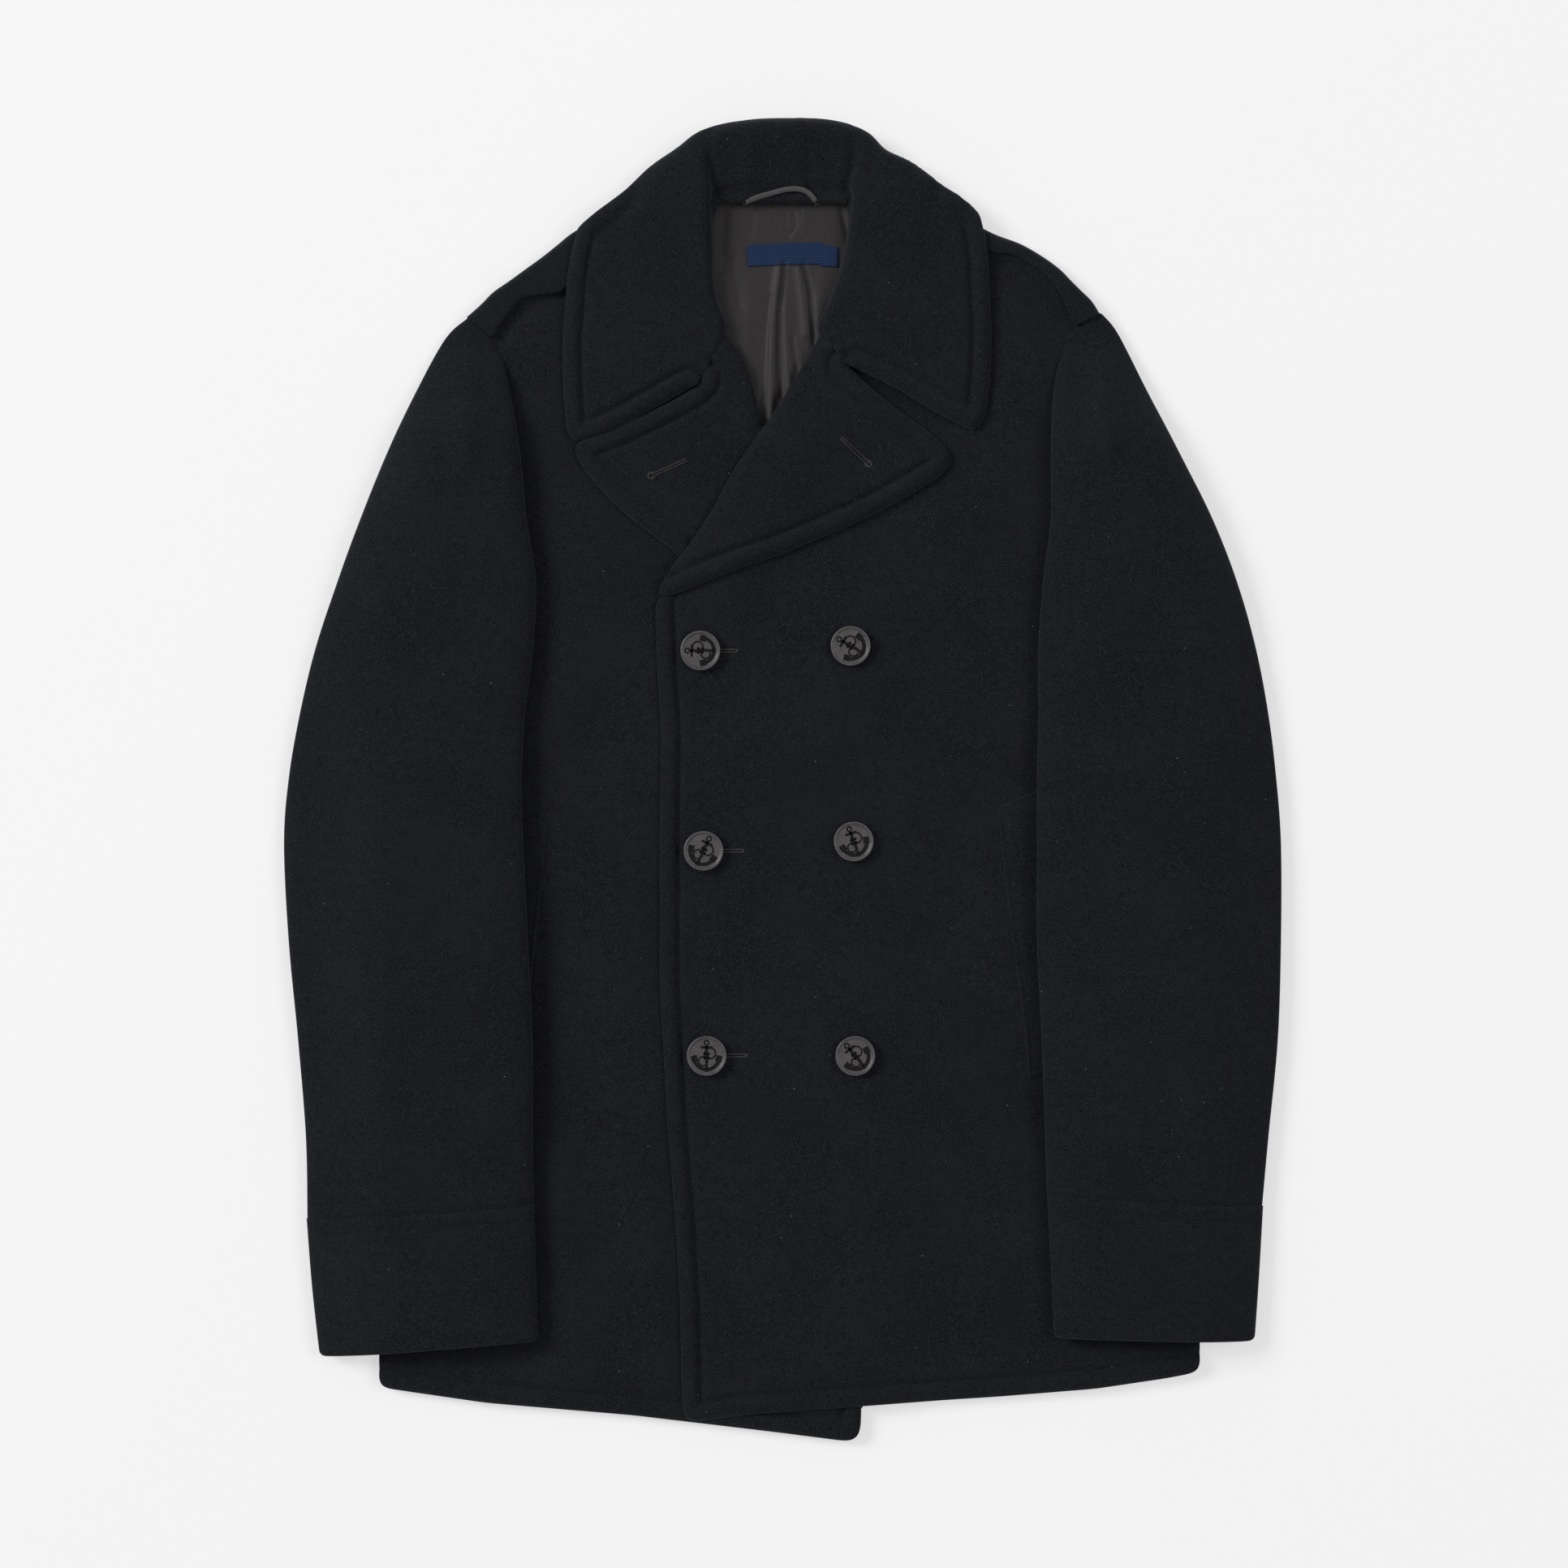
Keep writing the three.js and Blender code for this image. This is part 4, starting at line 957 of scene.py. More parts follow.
@dataclass
class Panel:
    """A flat panel: a closed sheet between two height functions, with sewn edges and creases."""

    name: str
    outline: Line
    under: Height
    over: Height
    stitched: Sequence[Line] = ()
    creases: Sequence[Crease] = ()
    roll: Line | None = None
    roll_under: Height | None = None
    pitch: float = 7.0
    soften: float = 4.8
    spacing: float = 2.4
    insets: Sequence[float] = FINE_INSETS
    swell: float = BAND_SWELL
    stitch_inset: float = STITCH_INSET
    waves: float = 1.0
    softness: float = 3.0

    def border(self) -> np.ndarray:
        """The outline with its corners softened, as places close together.

        Returns:
            The places, counterclockwise.
        """
        border = resample(self.outline, self.spacing, closed=True)
        reach = max(1, round(self.soften / self.spacing))
        for _ in range(2):
            border = sum(np.roll(border, k, axis=0) for k in range(-reach, reach + 1)) / (2 * reach + 1)
        if polygon_area(border) < 0:
            border = border[::-1]
        return border

    def half(self, x: np.ndarray, y: np.ndarray, to_edge: np.ndarray) -> np.ndarray:
        """Half the height of the edge that is nearest to each place.

        Args:
            x: The places' x.
            y: The places' y.
            to_edge: How far each is from the edge.

        Returns:
            The half heights.
        """
        plain = (self.over(x, y) - self.under(x, y)) / 2
        if self.roll is None:
            return plain
        near = 1 - smooth((distance_to_line(self.roll, x, y) - to_edge - 0.5) / 4)
        rolled = (self.over(x, y) - self.roll_under(x, y)) / 2
        return plain + (rolled - plain) * near

    def top(self, x: np.ndarray, y: np.ndarray, to_edge: np.ndarray | None = None) -> np.ndarray:
        """The upper face with its band, stitches and creases.

        Args:
            x: The places' x.
            y: The places' y.
            to_edge: How far each is from the edge, or none for places well inside.

        Returns:
            The heights.
        """
        z = self.over(x, y) + self.waves * undulation(x, y) + creased(self.creases, x, y)
        if self.stitched:
            sewn = np.min([distance_to_line(line, x, y) for line in self.stitched], axis=0)
            z = z + sewn_band(sewn, self.swell, self.stitch_inset)
        if to_edge is not None:
            z = z - edge_drop(to_edge, self.half(x, y, to_edge), self.softness)
        return z

    def bottom(self, x: np.ndarray, y: np.ndarray, to_edge: np.ndarray) -> np.ndarray:
        """The lower face, which reaches down at a roll.

        Args:
            x: The places' x.
            y: The places' y.
            to_edge: How far each is from the edge.

        Returns:
            The heights.
        """
        z = self.under(x, y)
        if self.roll is not None:
            at_roll = distance_to_line(self.roll, x, y) < ROLL + 0.2
            z = np.where(at_roll, self.roll_under(x, y), z)
        return z + edge_drop(to_edge, self.half(x, y, to_edge))

    def build(self, table: Table) -> bpy.types.Object:
        """Builds the panel.

        Args:
            table: The table that it lies on.

        Returns:
            The closed panel.
        """
        border = self.border()
        count = len(border)
        upper, upper_faces, to_edge = filled(border, self.insets, self.pitch)
        lower, lower_faces, under_edge = filled(border, LOW_INSETS, 3 * self.pitch)
        upper_z = self.top(upper[:, 0], upper[:, 1], to_edge)
        lower_z = self.bottom(lower[:, 0], lower[:, 1], under_edge)
        lower_z[:count] = upper_z[:count]
        points = np.vstack([np.column_stack([upper, upper_z]), np.column_stack([lower, lower_z])[count:]])
        moved = [[k if k < count else k + len(upper) - count for k in face] for face in lower_faces]
        return table.object(self.name, points, [*upper_faces, *moved])


def polygon_area(border: np.ndarray) -> float:
    """The area inside a border, below zero where it runs clockwise."""
    after = np.roll(border, -1, axis=0)
    return 0.5 * float(np.sum(border[:, 0] * after[:, 1] - after[:, 0] * border[:, 1]))


def inside(border: np.ndarray, x: np.ndarray, y: np.ndarray) -> np.ndarray:
    """Which places lie inside a border.

    Args:
        border: The border's places.
        x: The places' x.
        y: The places' y.

    Returns:
        True for each place inside.
    """
    within = np.zeros(x.shape, bool)
    for (ax, ay), (bx, by) in zip(border, np.roll(border, -1, axis=0)):
        if ay != by:
            crosses = ((ay > y) != (by > y)) & (x < ax + (y - ay) * (bx - ax) / (by - ay))
            within ^= crosses
    return within


def filled(border: np.ndarray, insets: Sequence[float], pitch: float
           ) -> tuple[np.ndarray, list[list[int]], np.ndarray]:
    """Fills a border with rings of places near its edge and a lattice further in.

    Args:
        border: The border's places, counterclockwise.
        insets: How far each ring is from the border.
        pitch: The pitch of the lattice.

    Returns:
        The places, border first, the triangles between them, and how far each is from the border.
    """
    closed = np.vstack([border, border[:1]])
    tangent = np.roll(border, -1, axis=0) - np.roll(border, 1, axis=0)
    tangent /= np.linalg.norm(tangent, axis=1)[:, None]
    inward = np.column_stack([-tangent[:, 1], tangent[:, 0]])
    groups, distances = [border], [np.zeros(len(border))]
    for inset in insets:
        ring = border + inward * inset
        away = distance_to_line(closed, ring[:, 0], ring[:, 1])
        clear = (away > inset - 0.15) & inside(border, ring[:, 0], ring[:, 1])
        groups.append(ring[clear])
        distances.append(away[clear])
    low, high = border.min(0), border.max(0)
    xs, ys = np.meshgrid(np.arange(low[0], high[0], pitch), np.arange(low[1], high[1], pitch))
    xs[1::2] += pitch / 2
    x, y = xs.ravel(), ys.ravel()
    keep = inside(border, x, y)
    x, y = x[keep], y[keep]
    away = distance_to_line(closed, x, y)
    deep = away > insets[-1] + 0.5 * min(pitch, 8)
    groups.append(np.column_stack([x[deep], y[deep]]))
    distances.append(away[deep])
    places = np.vstack(groups)
    corners = [Vector(place) for place in places.tolist()]
    made = delaunay_2d_cdt(corners, [], [list(range(len(border)))], 1, 1e-5)
    source = [origin[0] for origin in made[3]]
    faces = [[source[k] for k in face] for face in made[2]]
    return places, faces, np.concatenate(distances)


def wall(outer: np.ndarray, inner: np.ndarray, ring: bool = False) -> tuple[np.ndarray, list[list[int]]]:
    """A closed wall between two faces, each a grid of points.

    Args:
        outer: The outer face's points, as rows of columns.
        inner: The inner face's points, in the same order.
        ring: Whether the last column joins the first.

    Returns:
        The points and the faces.
    """
    rows, columns = outer.shape[:2]
    spans = columns if ring else columns - 1
    half = rows * columns

    def at(face: int, i: int, j: int) -> int:
        """The number of a point."""
        return face * half + i * columns + j % columns

    faces = []
    for i in range(rows - 1):
        for j in range(spans):
            for face in (0, 1):
                faces.append([at(face, i, j), at(face, i + 1, j), at(face, i + 1, j + 1), at(face, i, j + 1)])
    for j in range(spans):
        for i in (0, rows - 1):
            faces.append([at(0, i, j), at(0, i, j + 1), at(1, i, j + 1), at(1, i, j)])
    if not ring:
        for i in range(rows - 1):
            for j in (0, columns - 1):
                faces.append([at(0, i, j), at(0, i + 1, j), at(1, i + 1, j), at(1, i, j)])
    return np.vstack([outer.reshape(-1, 3), inner.reshape(-1, 3)]), faces


def tube_faces(rings: int, sides: int, first: int = 0) -> list[list[int]]:
    """The faces of a tube with closed ends.

    Args:
        rings: How many rings of points it has.
        sides: How many points are in each ring.
        first: The number of its first point.

    Returns:
        The faces.
    """
    faces = []
    for i in range(rings - 1):
        near, far = first + i * sides, first + (i + 1) * sides
        faces += [[near + k, near + (k + 1) % sides, far + (k + 1) % sides, far + k] for k in range(sides)]
    last = first + (rings - 1) * sides
    return [*faces, list(range(first, first + sides)), list(range(last, last + sides))]


def add_thread(points: list, faces: list, line: np.ndarray, radii: Sequence[float], sides: int = 6) -> None:
    """Adds a short length of thread.

    Args:
        points: The points so far.
        faces: The faces so far.
        line: The thread's middle line.
        radii: Its radius at each place of the line.
        sides: How many sides it has.
    """
    side, up = crosswise(line[-1] - line[0])
    faces += tube_faces(len(line), sides, len(points))
    for place, radius in zip(line, radii):
        for k in range(sides):
            angle = 2 * math.pi * k / sides
            points.append(place + radius * (math.cos(angle) * side + math.sin(angle) * up))


def crosswise(along: np.ndarray) -> tuple[np.ndarray, np.ndarray]:
    """The level direction across a line, and the one square to both.

    Args:
        along: The line's direction.

    Returns:
        Both directions.
    """
    along = along / np.linalg.norm(along)
    side = np.cross(along, (0, 0, 1))
    side = side / max(np.linalg.norm(side), 1e-6)
    return side, np.cross(side, along)


def grid_area(grid: np.ndarray) -> float:
    """The area of a grid of points.

    Args:
        grid: The points, as rows of columns.

    Returns:
        The area.
    """
    first = np.cross(grid[1:, :-1] - grid[:-1, :-1], grid[:-1, 1:] - grid[:-1, :-1])
    second = np.cross(grid[1:, :-1] - grid[1:, 1:], grid[:-1, 1:] - grid[1:, 1:])
    return 0.5 * float(np.linalg.norm(first, axis=2).sum() + np.linalg.norm(second, axis=2).sum())


@dataclass
class Stitching:
    """Rows of lockstitch, each stitch a short length of thread that dips into the cloth."""

    rings: int = 5

    def build(self, table: Table, name: str, rows: Sequence[np.ndarray]) -> bpy.types.Object:
        """Sews every row with the same thread.

        Args:
            table: The table that the coat lies on.
            name: The piece's name.
            rows: The lines of the rows, in three dimensions.

        Returns:
            The stitches, joined as one piece.
        """
        points, faces = [], []
        share = np.linspace(0, 1, self.rings)
        arch = np.sin(math.pi * share)
        for row in rows:
            places = resample(row, STITCH_PITCH)
            for a, b in zip(places[:-1], places[1:]):
                up = crosswise(b - a)[1]
                line = a + np.outer(0.5 + (share - 0.5) * STITCH_LENGTH / STITCH_PITCH, b - a)
                line += np.outer(THREAD_RADIUS * (1.3 * arch - 1.75), up)
                add_thread(points, faces, line, THREAD_RADIUS * (0.45 + 0.55 * arch))
        return table.object(name, np.array(points), faces)


@dataclass
class Body:
    """The back and the two fronts."""

    coat: Coat
    tuck: float = 5.0  # how far a front reaches under the shoulder's roll
    puff: float = 1.6  # how far the roll is padded out by the seam inside it

    def panels(self) -> dict[str, Panel]:
        """The panels of the body, by the names of their solids.

        Returns:
            The panels.
        """
        right_side = [(row[1], row[0]) for row in reversed(BACK_SIDES)]
        left_side = [(row[2], row[0]) for row in BACK_SIDES[1:]]
        hem = [(x, y + 2) for x, y in [*HEM_RIGHT[1:4], (40, -418), (56, -398), *HEM_LEFT[3:]]]
        roll_right = shifted(ROLL_RIGHT, ROLL + SEAM_GAP)
        roll_left = shifted(ROLL_LEFT, -ROLL - SEAM_GAP)
        top_right = shifted([*SHOULDER_SEAM_RIGHT, *ARMHOLE_RIGHT[:2]], -self.tuck)
        top_left = shifted([*SHOULDER_SEAM_LEFT, *ARMHOLE_LEFT[:3]], self.tuck)
        return {
            "back": Panel("wool_back", [*right_side, *hem, *left_side, *BACK_TOP],
                          lambda x, y: np.zeros(np.shape(x)), lambda x, y: np.full(np.shape(x), CLOTH),
                          pitch=14.0, insets=(0.5, 1.6, 5.0, 12.0), waves=0.0),
            "front_right": Panel("wool_front_right", [
                *HEM_RIGHT, *EDGE_RIGHT, *roll_right[1:], *NECK_RIGHT, *top_right, *ARMHOLE_RIGHT[2:]],
                front_right_under, front_right_top, stitched=[[*HEM_RIGHT, *EDGE_RIGHT]],
                creases=FRONT_CREASES),
            "front_left": Panel("wool_front_left", [
                *HEM_LEFT, *ARMHOLE_LEFT[:2:-1], *top_left[::-1], *NECK_LEFT[::-1],
                *roll_left[:0:-1], (-77, 116.5), *EDGE_LEFT],
                hollowed(front_left_under, 0.4), hollowed(front_left_top, 1.0),
                stitched=[[*EDGE_LEFT, *HEM_LEFT]],
                creases=FRONT_CREASES),
        }

    def shoulder(self, side: Side, rows: Sequence[Sequence[float]]) -> None:
        """Builds the cloth that the back rolls over a shoulder, up to its seam with the front.

        Args:
            side: Which shoulder.
            rows: The stations along it.
        """
        table = np.asarray(rows, float)
        stations = [blend_rows(table, t) for t in np.linspace(0, len(rows) - 1, 60)]
        angles = np.linspace(-math.pi / 2, math.pi / 2, 15)

        def across(row: np.ndarray, deep: float) -> np.ndarray:
            """A section through the roll, at a depth into the cloth.

            Args:
                row: The station.
                deep: The depth.

            Returns:
                Its points.
            """
            edge, seam = row[:2], row[2:]
            reach = float(np.linalg.norm(seam - edge))
            inward = (seam - edge) / reach
            base, crest = deep, SHOULDER_HEIGHT + self.puff - deep
            level = [(max(reach, SHOULDER_ROUND + 4), base)]
            level += [(SHOULDER_ROUND - (SHOULDER_ROUND - deep) * math.cos(a),
                       (base + crest) / 2 + (crest - base) / 2 * math.sin(a)) for a in angles]
            lip = CLOTH / 2
            level += [(max(level[-1][0], reach - lip) + lip * math.sin(a), crest - (1 if deep == 0 else -1)
                       * lip * (1 - math.cos(a))) for a in np.linspace(0, math.pi / 2, 5)]
            return np.array([[*(edge + inward * d), z] for d, z in level])

        outer = np.array([across(row, 0.0) for row in stations])
        inner = np.array([across(row, CLOTH) for row in stations])
        roll = self.coat.table.object(f"wool_shoulder_{side.value}", *wall(outer, inner))
        self.coat.keep(roll, self.coat.finishes.melton, "navy_melton")
        area = grid_area((outer + inner) / 2)
        self.coat.cloth(roll, 44, area / 30, area, ["back"], Held.FOLDED)

    def build(self) -> dict[str, Panel]:
        """Builds the body and sews its edges.

        Returns:
            The panels, for what lies on them.
        """
        panels = self.panels()
        rests = {"back": [], "front_right": ["back"], "front_left": ["front_right"]}
        for node, panel in panels.items():
            self.coat.panel(panel, node, self.coat.finishes.melton, "navy_melton", rests[node])
        self.shoulder(Side.RIGHT, SHOULDER_RIGHT)
        self.shoulder(Side.LEFT, SHOULDER_LEFT)
        return panels


@dataclass
class Lapels:
    """The turned back corners of the fronts, each continuous with its front over a soft roll."""

    coat: Coat

    def panels(self) -> dict[str, Panel]:
        """The two lapels, by the names of their solids.

        Returns:
            The panels.
        """
        def leaf(over_front: Height) -> tuple[Height, Height]:
            """The lower and upper faces of a lapel on a front."""
            return (lambda x, y: over_front(x, y) + LAYER_GAP, lambda x, y: over_front(x, y) + LAPEL_LIFT)

        right_under, right_over = leaf(front_right_top)
        left_under, left_over = leaf(front_left_top)
        return {
            "lapel_right": Panel(
                "wool_lapel_right",
                [*LAPEL_RIGHT_SEWN, *LAPEL_RIGHT_GORGE, *ROLL_RIGHT[:1:-1][1:], *LAPEL_RIGHT_HIDDEN],
                right_under, right_over, stitched=[LAPEL_RIGHT_SEWN], roll=ROLL_RIGHT[2:],
                roll_under=lambda x, y: front_right_under(x, y) + 0.1, pitch=5.0, soften=3.2, spacing=1.6),
            "lapel_left": Panel(
                "wool_lapel_left", [*LAPEL_LEFT_SEWN, *LAPEL_LEFT_GORGE, *ROLL_LEFT[-2:0:-1]],
                left_under, left_over, stitched=[LAPEL_LEFT_SEWN], roll=ROLL_LEFT,
                roll_under=lambda x, y: front_left_under(x, y) + 0.1, pitch=5.0, soften=3.2, spacing=1.6),
        }

    def build(self) -> dict[str, Panel]:
        """Builds both lapels.

        Returns:
            The panels, for what is sewn on them.
        """
        panels = self.panels()
        for node, panel in panels.items():
            self.coat.panel(panel, node, self.coat.finishes.melton, "navy_melton",
                            [node.replace("lapel", "front")], Held.FOLDED)
        return panels


@dataclass
class Collar:
    """The wide collar: it stands behind the neck, folds over and falls to the shoulders."""

    coat: Coat
    edge_steps: tuple[float, ...] = (0, 0.3, 0.9, 1.9, 3.4, 5.6, 7.6, 9.4, 10.6, 11.4, 12, 12.6, 13.4,
                                     14.6, 16.4)
    fall_columns: int = 24
    stand_columns: int = 16

    def stations(self) -> np.ndarray:
        """Where the collar's sections are, closer together near both ends.

        Returns:
            Places along the table of sections, in rows.
        """
        end = np.concatenate([np.linspace(0, 1, 9)[:-1], np.linspace(1, 3, 30)[:-1]])
        last = len(COLLAR) - 1
        middle = np.linspace(3, last - 3, (last - 6) * 6)[:-1]
        return np.concatenate([end, middle, [last - 3], last - end[::-1]])

    def section(self, t: float) -> np.ndarray:
        """The line across the middle of the cloth at one place, from the seam to the outer edge.

        Args:
            t: Where along the table of sections.

        Returns:
            The points of the line.
        """
        row = blend_rows(np.asarray(COLLAR, float), t)
        seam, fold, first, second, edge = row.reshape(5, 3)
        stand = np.linalg.norm(seam - fold)
        stand_end = fold + (seam - fold) * min(FOLD_SOFTNESS, 0.7 * stand) / stand
        fall_start = fold + (first - fold) * FOLD_SOFTNESS / np.linalg.norm(first - fold)
        turn = [(1 - s) ** 2 * stand_end + 2 * s * (1 - s) * fold + s * s * fall_start
                for s in np.linspace(0, 1, 9)]
        down = [blend_rows(np.array([fall_start, first, second, edge]), s) for s in np.linspace(0, 3, 40)]
        rise = [seam + (stand_end - seam) * s for s in np.linspace(0, 1, 5)[:-1]]
        line = np.array([*rise, *turn, *down[1:]])
        return self.spread(line, float(stand))

    def spread(self, line: np.ndarray, stand: float) -> np.ndarray:
        """Spaces a section's points: even on the stand and the fall, close at the outer edge.

        Args:
            line: The section's points.
            stand: The length of the stand.

        Returns:
            The points, outer edge first.
        """
        along = np.concatenate([[0], np.cumsum(np.linalg.norm(np.diff(line, axis=0), axis=1))])
        total = along[-1]
        from_edge = np.concatenate([
            self.edge_steps,
            np.linspace(self.edge_steps[-1], total - stand - FOLD_SOFTNESS, self.fall_columns + 1)[1:],
            np.linspace(total - stand - FOLD_SOFTNESS, total, self.stand_columns + 1)[1:],
        ])
        where = total - from_edge
        return np.column_stack([np.interp(where, along, line[:, k]) for k in range(3)])

    def surface(self) -> tuple[np.ndarray, np.ndarray]:
        """The middle of the cloth as a grid, and how far each point is from the collar's edge.

        Returns:
            The grid and the distances.
        """
        grid = np.array([self.section(t) for t in self.stations()])
        fall = len(self.edge_steps) + self.fall_columns
        rim = np.vstack([grid[0, fall::-1], grid[:, 0], grid[-1, :fall]])
        points = grid.reshape(-1, 3)
        best = np.full(len(points), np.inf)
        rim = rim[np.concatenate([[True], np.linalg.norm(np.diff(rim, axis=0), axis=1) > 0.05])]
        for a, b in zip(rim[:-1], rim[1:]):
            d = b - a
            t = np.clip((points - a) @ d / max(d @ d, 1e-9), 0, 1)
            best = np.minimum(best, np.linalg.norm(points - a - t[:, None] * d, axis=1))
        return grid, best.reshape(grid.shape[:2])

    def normals(self, grid: np.ndarray) -> np.ndarray:
        """The directions out of the cloth's outer face.

        Args:
            grid: The middle of the cloth.

        Returns:
            A unit direction for each point.
        """
        along = np.gradient(grid, axis=0)
        across = -np.gradient(grid, axis=1)
        normal = np.cross(along, across)
        length = np.linalg.norm(normal, axis=2, keepdims=True)
        return normal / np.maximum(length, 1e-9)

    def build(self) -> None:
        """Builds the collar with its sewn edge and the seam at the back of its stand."""
        grid, to_edge = self.surface()
        normal = self.normals(grid)
        half = COLLAR_CLOTH / 2 - edge_drop(to_edge, COLLAR_CLOTH / 2)
        upper_half = COLLAR_CLOTH / 2 - edge_drop(to_edge, COLLAR_CLOTH / 2, 2.4)
        relief = sewn_band(to_edge) * np.clip(to_edge / 2, 0, 1)
        relief = relief + 0.8 * undulation(grid[..., 0], grid[..., 1]) * np.clip(to_edge / 6, 0, 1)
        relief = relief + creased(COLLAR_CREASES, grid[..., 0], grid[..., 1]) * (grid[..., 2] > 5)
        level = np.clip(1.6 * np.abs(normal[..., 2]) - 0.2, 0, 1)  # none where the cloth stands on edge
        outer = grid + normal * (upper_half + relief * level)[..., None]
        inner = grid - normal * half[..., None]
        for face in (outer, inner):
            face[..., 2] = np.maximum(face[..., 2], 0.05)
        piece = self.coat.table.object("wool_collar", *wall(outer, inner))
        self.coat.keep(piece, self.coat.finishes.melton, "navy_melton", ["collar"])
        self.coat.cloth(piece, 190, 700, grid_area(grid), ["back", "front_right", "front_left"], Held.FOLDED)
        sewn = self.seam_line(grid, to_edge, outer)
        stitches = Stitching().build(self.coat.table, "collar_stitches", [sewn])
        self.coat.keep(stitches, self.coat.finishes.thread, "navy_melton")

    def seam_line(self, grid: np.ndarray, to_edge: np.ndarray, outer: np.ndarray) -> np.ndarray:
        """The line of the stitches inside the collar's edge.

        Args:
            grid: The middle of the cloth.
            to_edge: How far each point is from the edge.
            outer: The outer face.

        Returns:
            The places of the line, from one end of the collar to the other.
        """
        column = self.edge_steps.index(STITCH_INSET)
        fall = len(self.edge_steps) + self.fall_columns - 3
        inner_rows = np.nonzero(to_edge[:, column] > STITCH_INSET - 0.4)[0]
        first, last = inner_rows[0], inner_rows[-1]

        def across(rows: range) -> list[np.ndarray]:
            """Where each column is one inset away from the collar's end.

            Args:
                rows: The rows that are looked through.

            Returns:
                The places.
            """
            found = []
            for j in range(column, fall):
                away = [abs(to_edge[i, j] - STITCH_INSET) for i in rows]
                found.append(outer[rows[int(np.argmin(away))], j])
            return found

        middle = len(grid) // 2
        start = across(range(0, min(60, middle)))
        end = across(range(len(grid) - 1, max(middle, len(grid) - 61), -1))
        return np.array([*start[::-1], *outer[first:last + 1, column], *end])


